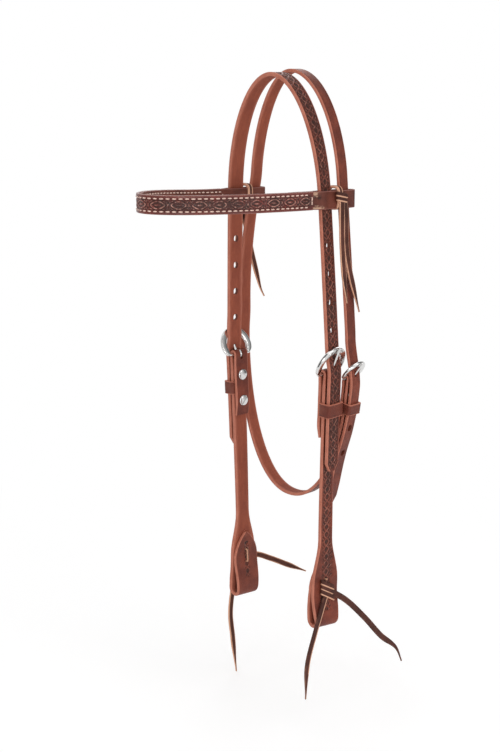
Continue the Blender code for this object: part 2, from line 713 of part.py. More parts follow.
def loop_centre(share, top_back=THROAT_BUCKLE_BACK):
    """Middle of half the throat loop: share 0 at its widest level, 1 at the bottom."""
    power = THROAT_LOOP_SQUARE_SHARE
    angle = math.pi / 2 * share
    drop, reach = math.sin(angle), math.cos(angle)
    size = (drop ** power + reach ** power) ** (-1 / power)
    back = between(top_back, THROAT_BOTTOM_BACK, drop ** 3)
    return Vector((THROAT_LOOP_HALF_WIDTH * size * reach, back,
                   -THROAT_LOOP_TOP_DROP - THROAT_LOOP_HEIGHT * size * drop))


def throat_across(centre):
    turn = THROAT_TURN * centre.x / THROAT_LOOP_HALF_WIDTH
    return Vector((-math.sin(turn), math.cos(turn), 0))


def throat_matrix(drop, side=NEAR, offset=0.0):
    """Axes on the near end of the throat loop, this far below its buckle's bar."""
    step = 1 / LEVEL_STEPS
    level = -THROAT_BUCKLE_DROP - drop
    share = 0
    while loop_centre(share).z > level and share < 1:
        share += step
    low, high = loop_centre(share - step), loop_centre(share)
    centre = between(low, high, (level - low.z) / (high.z - low.z))
    down = (loop_centre(share + step) - loop_centre(share - 2 * step)).normalized()
    matrix = frame_matrix(side, centre, down, THROAT_TURN)
    return matrix @ Matrix.Translation((offset, 0, 0))


def throat_stations():
    """Stations from the billet's tip up over the poll, down the far side, round the loop
    and up to the buckle's bar and the back leaf."""
    width, thick = THROAT_WIDTH, THROAT_THICK
    arch = []
    for step in range(1, ARCH_STEPS + 1):
        drop = THROAT_ARCH_HEIGHT * (1 - math.cos(math.pi / 2 * step / ARCH_STEPS))
        centre = throat_centre(drop)
        arch.append((centre, throat_across(centre), width, thick))
    top = (THROAT_APEX, Vector((0, 1, 0)), width, thick)

    near_run = []
    cross_drop = THROAT_BUCKLE_DROP + THROAT_APEX.z - THROAT_CROSS_START
    for step in range(1, RUN_STEPS):
        centre = throat_centre(between(THROAT_ARCH_HEIGHT, cross_drop, step / (RUN_STEPS - 1)))
        share = step / (RUN_STEPS - 1)
        centre.y = between(centre.y, THROAT_BUCKLE_BACK, ease(share))
        near_run.append((centre, throat_across(centre), width, thick))
    start = near_run[-1][0]
    finish = throat_matrix(THROAT_CROSS_END, NEAR, THROAT_BILLET_OFFSET).translation
    for step in range(1, RUN_STEPS + 1):
        share = step / RUN_STEPS
        centre = start.lerp(finish, share)
        centre.x = between(start.x, finish.x, ease(share))
        near_run.append((centre, throat_across(centre), width, thick))
    billet = []
    held = THROAT_FIRST_SCREW + SCREW_PITCH / 2 + THROAT_KEEPER_HEIGHT / 2
    for step in range(1, SMOOTH_STEPS + 1):
        drop = between(THROAT_CROSS_END, held, step / SMOOTH_STEPS)
        billet.append(throat_matrix(drop, NEAR, THROAT_BILLET_OFFSET).translation)
    screwed = THROAT_FIRST_SCREW + SCREW_PITCH - THROAT_CROSS_END
    for down, outward, forward in THROAT_BILLET_SHARES:
        level = finish.z - between(screwed, THROAT_BILLET_LENGTH, down)
        loop_x = throat_matrix(-THROAT_BUCKLE_DROP - level).translation.x
        billet.append(Vector((loop_x + outward * THROAT_BILLET_OFFSET,
                              finish.y - forward * THROAT_BILLET_LENGTH, level)))
    billet = billet[:SMOOTH_STEPS] + smooth_line(billet[SMOOTH_STEPS - 1:], SMOOTH_STEPS)[1:]
    near_run += [(centre, throat_across(centre), width, thick) for centre in billet]
    tip = near_run[-1][0] + (near_run[-1][0] - near_run[-2][0]).normalized() * BILLET_POINT
    near_run.append((tip, throat_across(tip), width * BILLET_TIP_SHARE, thick))

    far_run = []
    lowest = THROAT_LOOP_TOP_DROP + THROAT_APEX.z
    for step in range(1, RUN_STEPS):
        share = step / RUN_STEPS
        centre = throat_centre(between(THROAT_ARCH_HEIGHT, lowest, share))
        centre.y = between(centre.y, THROAT_FAR_BACK, share) - THROAT_FAR_DIP * math.sin(math.pi * share)
        centre.x += THROAT_FAR_OUT * ease(share)
        far_run.append((centre, throat_across(centre), width, thick))
    loop, far_loop = [], []
    for step in range(THROAT_LOOP_STEPS + 1):
        share = step / THROAT_LOOP_STEPS
        for half, top_back, out in ((loop, THROAT_BUCKLE_BACK, 0), (far_loop, THROAT_FAR_BACK, THROAT_FAR_OUT)):
            centre = loop_centre(share, top_back)
            centre.x += out * ease(1 - share)
            half.append((centre, throat_across(centre), width, thick))
    rise = []
    settle = -THROAT_BUCKLE_DROP - LEAF_SETTLE
    for centre, across, _, _ in loop[:-1][::-1]:
        if centre.z < settle - LEAF_SETTLE / 2:
            rise.append((centre, across, width, thick))
    rise.append(station_on(throat_matrix(LEAF_SETTLE), 0, width, thick))

    turn = buckle_turn(throat_matrix, THROAT_BAR_RADIUS, THROAT_BAR_OFFSET, THROAT_BACK_LEAF_OFFSET, width,
                       (thick, THROAT_TURN_THICK, THROAT_BACK_LEAF_THICK, THROAT_BACK_LEAF_END_THICK),
                       (THROAT_FIRST_SCREW + SCREW_PITCH + THROAT_HEAD_RADIUS, THROAT_BACK_LEAF_LENGTH))
    return (near_run[::-1] + arch[::-1] + [top] + mirrored(arch) + mirrored(far_run) + mirrored(far_loop)
            + rise + turn)


def make_throat_strap(material):
    strap = make_strap("throat_latch_strap", throat_stations(), material)
    holes = bmesh.new()
    bar = throat_matrix(0, NEAR, THROAT_BAR_OFFSET)
    cut_turn_slot(holes, bar, THROAT_BAR_RADIUS, THROAT_TURN_THICK, THROAT_TONGUE_RADIUS)
    cut_screw_holes(holes, throat_matrix, NEAR, (THROAT_FIRST_SCREW, THROAT_FIRST_SCREW + SCREW_PITCH),
                    -CUT_REACH_SHARE * THROAT_THICK, (THROAT_THICK + THROAT_HEAD_GAP) / 2)
    billet = [station for station in throat_stations() if station[0].z < -THROAT_BUCKLE_DROP - THROAT_HOLE_DROP]
    for number in range(THROAT_HOLES):
        level = -THROAT_BUCKLE_DROP - THROAT_HOLE_DROP - HOLE_PITCH * number
        for (above, across, _, _), (below, _, _, _) in zip(billet[1:], billet):
            if below.z <= level <= above.z:
                centre = above.lerp(below, (above.z - level) / (above.z - below.z))
                matrix = frame_matrix(NEAR, centre, (below - above).normalized(), THROAT_TURN)
                add_prism(holes, side_matrix(matrix), stadium(HOLE_LENGTH, HOLE_WIDTH),
                          -THROAT_THICK, THROAT_THICK)
                break
    cut_away(strap, "throat_latch_strap_holes", holes)
    wedge = bmesh.new()
    tongue_wedge(wedge, bar, THROAT_FRAME_TILT, THROAT_BAR_RADIUS, THROAT_TONGUE_RADIUS,
                 THROAT_FRAME_LENGTH - THROAT_FRAME_RIM, FRAME_SWING + TONGUE_SWING)
    cut_away(strap, "throat_latch_strap_tongue_hole", wedge)
    return strap


# Buckles, keepers and screws


def frame_outline(half_width, length):
    """Middle line of a horseshoe frame: (across, up, share of the rim's full section)."""
    shoulder = length * FRAME_SHOULDER_SHARE
    corner = length * FRAME_CORNER_SHARE
    bar = half_width * FRAME_BAR_SHARE
    line = [(bar - corner, 0, 0), (bar, corner / 2, FRAME_NECK_SHARE),
            (between(bar, half_width, FRAME_WAIST_SHARE), shoulder / 2, 1)]
    for step in range(FRAME_ARCH_STEPS + 1):
        angle = math.pi * step / FRAME_ARCH_STEPS
        line.append((half_width * math.cos(angle), between(shoulder, length, math.sin(angle)), 1))
    line += [(-across, up, full) for across, up, full in line[2::-1]]
    return line


def make_frame(name, pivot, sizes, material):
    """A frame whose bar is its axis. Its rim is wider than thick, and its bar is round."""
    half_width, length, rim, thick, bar_radius, tilt = sizes
    line = frame_outline(half_width, length)
    lean = Matrix.Rotation(tilt, 3, "Y")
    rings = []
    count = len(line)
    for i, (across, up, full) in enumerate(line):
        ahead, behind = line[(i + 1) % count], line[i - 1]
        along = Vector((0, ahead[0] - behind[0], ahead[1] - behind[1])).normalized()
        side = along.cross(Vector((1, 0, 0)))
        wide = between(bar_radius, rim / 2, full)
        deep = between(bar_radius, thick / 2, full)
        ring = []
        for corner in range(FRAME_SIDES):
            angle = math.tau * (corner + 0.5) / FRAME_SIDES
            point = Vector((0, across, up)) + side * (wide * math.cos(angle))
            ring.append(lean @ (point + Vector((deep * math.sin(angle), 0, 0))))
        rings.append(ring)
    return place_mesh(name, rings, material, closed=True, parent=pivot)


def make_tongue(name, pivot, sizes, material):
    """A round wire that wraps the bar and lies across the rim."""
    length, rim, radius, bar_radius, tilt = sizes
    ring_radius = bar_radius + BAR_CLEARANCE + radius
    line = []
    for step in range(TONGUE_WRAP_STEPS + 1):
        angle = TONGUE_WRAP * (step / TONGUE_WRAP_STEPS - 1)
        line.append(Vector((ring_radius * math.cos(angle), 0, ring_radius * math.sin(angle))))
    reach = length + rim / 2 + TONGUE_TIP_PAST
    line += [Vector((ring_radius, 0, reach * share)) for share in TONGUE_SHAFT_SHARES]
    lean = Matrix.Rotation(tilt, 3, "Y")
    rings = []
    last = len(line) - 1
    for i, centre in enumerate(line):
        along = (line[min(i + 1, last)] - line[max(i - 1, 0)]).normalized()
        side = along.cross(Vector((0, 1, 0)))
        size = radius * (TONGUE_TIP_SHARE if i == last else 1)
        ring = []
        for corner in range(TONGUE_SIDES):
            angle = math.tau * corner / TONGUE_SIDES
            ring.append(lean @ (centre + side * (size * math.cos(angle))
                                + Vector((0, size * math.sin(angle), 0))))
        rings.append(ring)
    return place_mesh(name, rings, material, parent=pivot)


def turned_mesh(name, profile, material, parent):
    """A turned piece on the x axis. The profile's points are (along, radius)."""
    mesh = bpy.data.meshes.new(name)
    shape = bmesh.new()
    rings = []
    for along, radius in profile:
        if radius == 0:
            rings.append([shape.verts.new((along, 0, 0))] * SCREW_SIDES)
            continue
        angles = [math.tau * i / SCREW_SIDES for i in range(SCREW_SIDES)]
        rings.append([shape.verts.new((along, radius * math.cos(a), radius * math.sin(a))) for a in angles])
    for first, second in zip(rings, rings[1:]):
        for i in range(SCREW_SIDES):
            j = (i + 1) % SCREW_SIDES
            corners = [first[i], first[j], second[j], second[i]]
            shape.faces.new(list(dict.fromkeys(corners)))
    bmesh.ops.recalc_face_normals(shape, faces=shape.faces[:])
    shape.to_mesh(mesh)
    shape.free()
    return place_object(name, mesh, material, parent)


def make_screw_pair(label, matrix, sizes, material):
    """A post whose barrel crosses both leaves, and the screw that closes it from inside."""
    leaf_thick, gap, back_thick, head_radius = sizes
    seat = leaf_thick / 2 + CLEARANCE
    back = -leaf_thick / 2 - gap - back_thick
    pivot = place_empty("axis_screw_" + label, matrix)
    head = seat + POST_HEAD_THICK
    post = [(head, 0), (head, head_radius * HEAD_CROWN_SHARE),
            (between(seat, head, HEAD_EDGE_SHARE), head_radius), (seat, head_radius),
            (seat, BARREL_RADIUS), (back, BARREL_RADIUS), (back, BORE_RADIUS),
            (seat - BORE_CAP, BORE_RADIUS), (seat - BORE_CAP, 0)]
    turned_mesh("screw_post_" + label, post, material, pivot)
    under = back - CLEARANCE
    top = under - SCREW_HEAD_THICK
    screw = [(top, 0), (top, head_radius * HEAD_CROWN_SHARE),
             (between(under, top, HEAD_EDGE_SHARE), head_radius), (under, head_radius),
             (under, SHANK_RADIUS), (under + SHANK_LENGTH, SHANK_RADIUS), (under + SHANK_LENGTH, 0)]
    piece = turned_mesh("screw_" + label, screw, material, pivot)
    slot = bmesh.new()
    half = SLOT_WIDTH / 2
    reach = 2 * head_radius
    outline = [(-half, -reach), (half, -reach), (half, reach), (-half, reach)]
    add_prism(slot, side_matrix(matrix), outline, top - SLOT_DEPTH, top + SLOT_DEPTH)
    cut_away(piece, piece.name + "_slot", slot)


def corner_outline(low, high, half, radius):
    """A rounded rectangle, from low to high in x and half either way in y."""
    outline = []
    for quarter, (x, y) in enumerate(((high, half), (low, half), (low, -half), (high, -half))):
        middle = (x - math.copysign(radius, x - (low + high) / 2), y - math.copysign(radius, y))
        for step in range(KEEPER_CORNER_STEPS + 1):
            angle = math.pi / 2 * (quarter + step / KEEPER_CORNER_STEPS)
            outline.append((middle[0] + radius * math.cos(angle), middle[1] + radius * math.sin(angle)))
    return outline


def make_keeper(name, matrix, sizes, material):
    """A leather loop round the outer leaf and the billet, its inner side between the leaves."""
    width, thick, gap, head_gap, height, wall, inner_wall = sizes
    inner_middle = -(thick + gap) / 2
    low = inner_middle + inner_wall / 2
    high = thick / 2 + head_gap + thick + KEEPER_FRONT_ROOM
    half = width / 2 + KEEPER_SIDE_ROOM
    radius = gap * KEEPER_CORNER_SHARE
    inner = corner_outline(low, high, half, radius)
    outer = corner_outline(low - inner_wall, high + wall, half + wall, radius + wall)
    rings = [[Vector((x, y, level)) for x, y in outline]
             for outline, level in ((outer, -height / 2), (outer, height / 2),
                                    (inner, height / 2), (inner, -height / 2))]
    pivot = place_empty("axis_" + name, matrix)
    return place_mesh(name, rings, material, closed=True, parent=pivot)


def make_cheek_hardware(side, metal, leather):
    label = SIDE_NAMES[side]
    bar = cheek_matrix(0, side, BAR_OFFSET)
    pivot = place_empty("axis_cheek_buckle_bar_" + label, bar)
    make_frame("cheek_buckle_frame_" + label, pivot,
               (FRAME_HALF_WIDTH, FRAME_LENGTH, FRAME_RIM, FRAME_THICK, BAR_RADIUS, FRAME_TILT), metal)
    make_tongue("cheek_buckle_tongue_" + label, pivot,
                (FRAME_LENGTH, FRAME_RIM, TONGUE_RADIUS, BAR_RADIUS, FRAME_TILT), metal)
    for position, drop in (("upper", FIRST_SCREW), ("lower", FIRST_SCREW + SCREW_PITCH)):
        make_screw_pair("cheek_{}_{}".format(position, label), cheek_matrix(drop, side),
                        (STRAP_THICK, LEAF_GAP, BACK_LEAF_THICK, HEAD_RADIUS), metal)
    make_keeper("cheek_keeper_" + label, cheek_matrix(FIRST_SCREW + SCREW_PITCH / 2, side),
                (STRAP_WIDTH, STRAP_THICK, LEAF_GAP, HEAD_GAP, KEEPER_HEIGHT, KEEPER_THICK,
                 KEEPER_INNER_THICK), leather)


def make_throat_hardware(metal, leather):
    bar = throat_matrix(0, NEAR, THROAT_BAR_OFFSET)
    pivot = place_empty("axis_throat_buckle_bar", bar)
    make_frame("throat_buckle_frame", pivot,
               (THROAT_FRAME_HALF_WIDTH, THROAT_FRAME_LENGTH, THROAT_FRAME_RIM, THROAT_FRAME_THICK,
                THROAT_BAR_RADIUS, THROAT_FRAME_TILT), metal)
    make_tongue("throat_buckle_tongue", pivot,
                (THROAT_FRAME_LENGTH, THROAT_FRAME_RIM, THROAT_TONGUE_RADIUS, THROAT_BAR_RADIUS,
                 THROAT_FRAME_TILT), metal)
    for position, drop in (("upper", THROAT_FIRST_SCREW), ("lower", THROAT_FIRST_SCREW + SCREW_PITCH)):
        make_screw_pair("throat_" + position, throat_matrix(drop),
                        (THROAT_THICK, THROAT_LEAF_GAP, THROAT_BACK_LEAF_THICK, THROAT_HEAD_RADIUS), metal)
    make_keeper("throat_keeper", throat_matrix(THROAT_FIRST_SCREW + SCREW_PITCH / 2),
                (THROAT_WIDTH, THROAT_THICK, THROAT_LEAF_GAP, THROAT_HEAD_GAP, THROAT_KEEPER_HEIGHT,
                 THROAT_KEEPER_THICK, THROAT_KEEPER_INNER_THICK), leather)


# Browband


def brow_place(x, y):
    """A point of the browband's middle height. The band rises toward the front and sags a
    little on the far side."""
    drop = BROW_DROP + BROW_RISE_SHARE * y
    if x < 0:
        drop += BROW_FAR_SAG * ease((y + BROW_SAG_START) / (BROW_SAG_START - BROW_FACE_END))
    return Vector((x, y, -drop))


def brow_point(angle, inset):
    """A point of the browband's plan, moved in from the face's middle line."""
    normal = Vector((math.cos(angle) / BROW_HALF_WIDTH, -math.sin(angle) / BROW_DEPTH, 0)).normalized()
    return brow_place(BROW_HALF_WIDTH * math.cos(angle) - normal.x * inset,
                      -BROW_DEPTH * math.sin(angle) - normal.y * inset)


def brow_loop_sizes():
    """Where the loop's walls run past the two straps: (outer x, inner x, front y, back y)."""
    drop = BROW_DROP + CROWN_APEX.z
    crown = crown_centre(drop)
    throat = throat_centre(BROW_DROP + THROAT_APEX.z)
    swing = STRAP_WIDTH / 2 * math.sin(CROWN_TURN)
    wall = STRAP_THICK / 2 + swing + BROW_LOOP_ROOM + BROW_LINING_THICK / 2
    back = throat.y + THROAT_WIDTH / 2 + BROW_LOOP_BACK_ROOM + BROW_LINING_THICK / 2
    front = crown.y - STRAP_WIDTH / 2
    return crown.x + wall, crown.x - wall, front, back


def lining_line():
    """Middle line of the near half of the lining, from the tucked end of the loop, back
    round the straps and forward along the inside of the face, and how many of its points
    are tucked under the face."""
    outer_x, inner_x, front, back = brow_loop_sizes()
    face_end = math.asin(BROW_FACE_END / BROW_DEPTH)
    tuck_end = math.asin((BROW_FACE_END + BROW_TUCK_LENGTH) / BROW_DEPTH)
    tuck_inset = BROW_FACE_THICK / 2 + CLEARANCE + BROW_TUCK_THICK / 2
    under = tuck_inset + BROW_TUCK_THICK / 2 + CLEARANCE + BROW_LINING_THICK / 2
    tuck = [brow_point(between(tuck_end, face_end, share), tuck_inset) for share in BROW_TUCK_SHARES]
    radius = (outer_x - inner_x) / 2
    turn = []
    for step in range(BROW_LOOP_STEPS * 2 + 1):
        angle = math.pi * (step / (BROW_LOOP_STEPS * 2) - 0.5)
        turn.append(brow_place(inner_x + radius * (1 - math.sin(angle)), back - radius * (1 - math.cos(angle))))
    settled = front + BROW_LOOP_SETTLE
    outward = [brow_place(outer_x, front), brow_place(outer_x, settled)]
    inward = [brow_place(inner_x, settled), brow_place(inner_x + BROW_LOOP_ROOM / 2, front)]
    under_line = [brow_point(face_end, under), brow_point(tuck_end, under)]
    line = smooth_line(tuck + outward, SMOOTH_STEPS) + turn + smooth_line(inward + under_line, SMOOTH_STEPS)
    return line, (len(tuck) - 1) * SMOOTH_STEPS


def make_browband(face_leather, lining_leather):
    face_end = math.asin(BROW_FACE_END / BROW_DEPTH)
    face = []
    for step in range(BROW_FACE_STEPS + 1):
        angle = between(face_end, math.pi - face_end, step / BROW_FACE_STEPS)
        face.append((brow_point(angle, 0), UP, BROW_HEIGHT, BROW_FACE_THICK))
    make_strap("browband_face", face, face_leather)

    line, tucked = lining_line()
    near = []
    for i, centre in enumerate(line):
        thick = between(BROW_TUCK_THICK, BROW_LINING_THICK, ease((i - tucked) / SMOOTH_STEPS + 1))
        near.append((centre, UP, BROW_HEIGHT, thick))
    inset = (BROW_FACE_THICK + BROW_LINING_THICK) / 2 + CLEARANCE
    settle = math.asin((BROW_FACE_END + 2 * BROW_TUCK_LENGTH) / BROW_DEPTH)
    front = []
    for step in range(BROW_FRONT_STEPS + 1):
        angle = between(settle, math.pi - settle, step / BROW_FRONT_STEPS)
        front.append((brow_point(angle, inset), UP, BROW_HEIGHT, BROW_LINING_THICK))
    far = [(brow_place(-centre.x, centre.y), across, width, thick) for centre, across, width, thick in near]
    make_strap("browband_lining", near + front + far[::-1], lining_leather)


# Ties


def add_tails(tie, start, side, tails):
    """Joins on the tie's free ends, which hang from the knot and narrow to a point."""
    for number, (length, shares) in enumerate(tails):
        points = [start + Vector((out * side, back, -down)) * length for out, back, down in shares]
        line = smooth_line(points, SMOOTH_STEPS)
        stations = []
        last = len(line) - 1
        for i, centre in enumerate(line):
            narrow = ease((i / last - TIE_TAPER_SHARE) / (1 - TIE_TAPER_SHARE))
            along = (line[min(i + 1, last)] - line[max(i - 1, 0)]).normalized()
            across = Vector((0, along.z, -along.y))
            stations.append((centre, across, between(TIE_WIDTH, TIE_TIP_WIDTH, narrow),
                             between(TIE_THICK, TIE_THICK / 2, narrow)))
        tail = bmesh.new()
        add_rings(tail, strap_rings(stations, TIE_BEVEL))
        cut_away(tie, "{}_tail_{}".format(tie.name, number), tail, "UNION")


def knot_rings(matrix_at, base, height, width, thick):
    """Stacked wraps across a strap's face, as one pad with a groove between each two. The
    axes on the face come from how far they lie below the knot's middle."""
    steps = KNOT_WRAPS * 2
    rings = []
    for step in range(steps + 1):
        full = step % 2
        half = width / 2 * between(KNOT_END_SHARE, 1, full)
        top = base + thick * between(KNOT_GROOVE_SHARE, 1, full)
        fall = height * (1 / 2 - step / steps)
        ring = []
        for x, y in ((base, -half), (base, half), (top, half * KNOT_END_SHARE), (top, -half * KNOT_END_SHARE)):
            ring.append(matrix_at(fall - y * KNOT_SLOPE_SHARE) @ Vector((x, y, 0)))
        rings.append(ring)
    return rings


def make_brow_tie(side, material):
    outer_x, inner_x, _, _ = brow_loop_sizes()
    level = brow_place(side * outer_x, BROW_TIE_BACK).z
    margin = BROW_LINING_THICK / 2 + CLEARANCE + TIE_THICK / 2
    high = BROW_HEIGHT / 2 + CLEARANCE + TIE_THICK / 2
    across = Vector((0, 1, 0))
    far_x, near_x = (inner_x - margin) * side, (outer_x + margin) * side
    ring = []
    for x, z in ((near_x, -high), (near_x, high), (far_x, high), (far_x, -high)):
        ring.append(Vector((x, BROW_TIE_BACK, level + z)))
    rings = []
    middle = Vector(((near_x + far_x) / 2, BROW_TIE_BACK, level))
    for corner in ring:
        away = Vector((math.copysign(TIE_THICK / 2, corner.x - middle.x), 0,
                       math.copysign(TIE_THICK / 2, corner.z - middle.z)))
        half = across * (TIE_WIDTH / 2)
        rings.append([corner + away - half, corner + away + half, corner - away + half, corner - away - half])
    band = place_mesh("browband_tie_" + SIDE_NAMES[side], rings, material, closed=True)
    matrix = frame_matrix(side, Vector((abs(near_x), BROW_TIE_BACK, level)), -UP, 0)
    knot = bmesh.new()
    add_rings(knot, knot_rings(lambda fall: matrix @ Matrix.Translation((0, 0, -fall)), 0,
                               BROW_KNOT_HEIGHT, BROW_KNOT_WIDTH, BROW_KNOT_THICK))
    cut_away(band, band.name + "_knot", knot, "UNION")
    add_tails(band, Vector((near_x + BROW_KNOT_THICK / 2 * side, BROW_TIE_BACK, level)), side, BROW_TAILS[side])


def make_bit_tie(side, material):
    """A lace through two holes of the bit end, knotted on the outside, with two tails."""
    high, low = bit_hole_drops()
    middle = (low + high) / 2 + BIT_KNOT_DROP
    base = STRAP_THICK / 2 + CLEARANCE
    knot = knot_rings(lambda fall: cheek_matrix(middle + fall, side), base,
                      BIT_KNOT_HEIGHT, BIT_KNOT_WIDTH, BIT_KNOT_THICK)
    tie = place_mesh("bit_tie_" + SIDE_NAMES[side], knot, material)
    tip_drop = CHEEK_LENGTH - BIT_FLAP_LENGTH
    fold_drop = CHEEK_LENGTH - STRAP_THICK / 2 - BIT_FOLD_RADIUS
    turn = BIT_LACE_RADIUS
    route = []
    for drop, inside in ((high, high + turn), (low, low - turn)):
        share = (drop - tip_drop) / (fold_drop - tip_drop)
        inner = flap_offset(share) - BIT_FLAP_THICK / 2 - CLEARANCE - turn
        leg = [(base + turn, drop), (base - 2 * turn, drop), (inner + turn, drop), (inner, inside)]
        route += leg if drop == high else leg[::-1]
    stations = [station_on(cheek_matrix(drop, side), offset, 2 * turn, 2 * turn) for offset, drop in route]
    lace = bmesh.new()
    add_rings(lace, strap_rings(stations, turn * LACE_BEVEL_SHARE))
    cut_away(tie, tie.name + "_lace", lace, "UNION")
    start = cheek_matrix(middle, side) @ Vector((base + BIT_KNOT_THICK / 2, 0, 0))
    add_tails(tie, start, side, BIT_TAILS[side])


clear_scene()
red_leather = make_material("red_leather", LEATHER_RED, 0.45)
dark_leather = make_material("tooled_leather", LEATHER_DARK, 0.4)
lining_leather = make_material("lining_leather", LEATHER_LINING, 0.6)
tie_leather = make_material("tie_leather", TIE_BROWN, 0.7)
bright_metal = make_material("bright_metal", BRIGHT_METAL, 0.18, 1.0)

make_crown_strap(dark_leather)
make_throat_strap(red_leather)
make_browband(dark_leather, lining_leather)
for hand in (NEAR, FAR):
    make_cheek_strap(hand, red_leather)
    make_cheek_hardware(hand, bright_metal, red_leather)
    make_brow_tie(hand, tie_leather)
    make_bit_tie(hand, tie_leather)
make_throat_hardware(bright_metal, red_leather)
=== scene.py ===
import math

import bmesh
import bpy
import numpy as np
from mathutils import Matrix, Vector


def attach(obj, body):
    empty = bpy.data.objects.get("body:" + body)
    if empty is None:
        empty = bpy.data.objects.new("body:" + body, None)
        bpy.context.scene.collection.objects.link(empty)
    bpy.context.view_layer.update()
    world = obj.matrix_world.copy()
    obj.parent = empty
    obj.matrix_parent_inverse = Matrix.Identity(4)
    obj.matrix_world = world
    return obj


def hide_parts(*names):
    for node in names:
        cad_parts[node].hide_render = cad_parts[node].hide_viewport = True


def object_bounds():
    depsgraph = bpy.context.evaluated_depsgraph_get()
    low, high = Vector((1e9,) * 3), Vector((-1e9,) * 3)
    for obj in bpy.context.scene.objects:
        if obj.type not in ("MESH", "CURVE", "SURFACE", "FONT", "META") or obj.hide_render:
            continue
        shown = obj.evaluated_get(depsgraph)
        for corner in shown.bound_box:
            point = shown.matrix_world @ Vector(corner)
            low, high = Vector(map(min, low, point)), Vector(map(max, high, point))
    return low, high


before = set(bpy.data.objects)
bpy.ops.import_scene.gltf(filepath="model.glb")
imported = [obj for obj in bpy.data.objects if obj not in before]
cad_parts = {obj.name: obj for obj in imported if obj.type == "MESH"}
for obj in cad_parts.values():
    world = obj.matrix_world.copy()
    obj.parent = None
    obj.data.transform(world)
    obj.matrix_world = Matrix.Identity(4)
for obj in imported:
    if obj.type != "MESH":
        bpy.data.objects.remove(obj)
cad_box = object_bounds()

# The view
# The headstall hangs as it would on a horse's head, seen from its left front, a little above
# the browband and just over a metre away.
LENS_PIXELS = 1267
PICTURE_HEIGHT = 752
SENSOR_HEIGHT = 36
VIEW_TURN = math.radians(46)
VIEW_DIP = math.radians(13.06)
VIEW_BACK = 1.153
VIEW_ASIDE = -0.0265
VIEW_RISE = -0.0052


def stand_in_scene(name, data):
    """A new object of this mesh, lamp or camera, in the scene."""
    thing = bpy.data.objects.new(name, data)
    bpy.context.scene.collection.objects.link(thing)
    return thing


def point_camera():
    across = Vector((math.cos(VIEW_TURN), math.sin(VIEW_TURN), 0))
    back = Vector((math.sin(VIEW_TURN), -math.cos(VIEW_TURN), 0))
    look = back * -math.cos(VIEW_DIP) + Vector((0, 0, -math.sin(VIEW_DIP)))
    axes = Matrix((across, across.cross(look), -look)).transposed().to_4x4()
    axes.translation = back * VIEW_BACK + across * VIEW_ASIDE + Vector((0, 0, VIEW_RISE))
    lens = bpy.data.cameras.new("view")
    lens.sensor_fit = "VERTICAL"
    lens.sensor_height = SENSOR_HEIGHT
    lens.lens = SENSOR_HEIGHT * LENS_PIXELS / PICTURE_HEIGHT
    camera = stand_in_scene("view", lens)
    camera.matrix_world = axes
    bpy.context.scene.camera = camera


point_camera()
bpy.context.scene.view_settings.view_transform = "Standard"

# The studio
# Big soft boxes in a bright room: in front, at one side, behind and overhead, and a small one
# behind the camera that glints on the browband. The room is white, with grey strips for metal
# to reflect.
ROOM_LIGHT = 0.62
ROOM_STRIPS = ((0, 1), (0.10, 0.9), (0.17, 0.08), (0.25, 0.12), (0.33, 0.95),
               (0.56, 1), (0.64, 0.16), (0.70, 0.12), (0.78, 0.95), (1, 1))
WHITE = (1, 1, 1, 1)
FLOOR_GAP = 0.002
FLOOR_RADIUS = 3.0
FLOOR_SIDES = 64
FLOOR_PALE = 0.82
FLOOR_LIFT = 0.10
SHADE_RADIUS = 0.75
# Where each box stands, where it points, its width and its power
SOFT_BOXES = {
    "front_box": ((0.5, -2.6, 1.0), (0, 0, -0.25), 1.6, 12),
    "side_box": ((2.6, 0.3, 0.7), (0, 0, -0.25), 1.4, 13),
    "back_box": ((-1.6, 2.0, 1.2), (0, 0, -0.2), 1.6, 12),
    "top_box": ((0, 0, 2.2), (0, 0, -0.3), 1.8, 9),
    "glint_box": ((1.95, -1.25, -0.22), (0.05, -0.1, -0.11), 0.40, 9),
}


def add_node(tree, kind, links=(), **settings):
    """Adds a shader node, sets it up and joins other nodes' outputs to its inputs."""
    node = tree.nodes.new("ShaderNode" + kind)
    for key, value in settings.items():
        setattr(node, key, value)
    for socket, source in dict(links).items():
        if isinstance(source, bpy.types.NodeSocket):
            tree.links.new(source, node.inputs[socket])
        else:
            node.inputs[socket].default_value = source
    return node


def work_out(tree, operation, *values, clamp=False):
    """The result of a maths node on two or three values."""
    return add_node(tree, "Math", dict(enumerate(values)), operation=operation, use_clamp=clamp).outputs[0]


def new_material(name):
    """A new material and its empty node tree."""
    material = bpy.data.materials.new(name)
    material.use_nodes = True
    material.node_tree.nodes.clear()
    return material, material.node_tree


def set_ramp(node, stops):
    """Writes a ramp of greys from (place, grey) pairs."""
    ramp = node.color_ramp
    while len(ramp.elements) < len(stops):
        ramp.elements.new(0.5)
    for element, (place, grey) in zip(ramp.elements, stops):
        element.position = place
        element.color = (grey, grey, grey, 1)
    return node.outputs["Color"]


def seen_rays(tree):
    """1 for rays from the camera, from polished metal or through clear pieces, and else 0."""
    path = add_node(tree, "LightPath")
    total = path.outputs["Is Camera Ray"]
    for kind in ("Is Glossy Ray", "Is Transmission Ray"):
        total = work_out(tree, "ADD", total, path.outputs[kind], clamp=True)
    return total


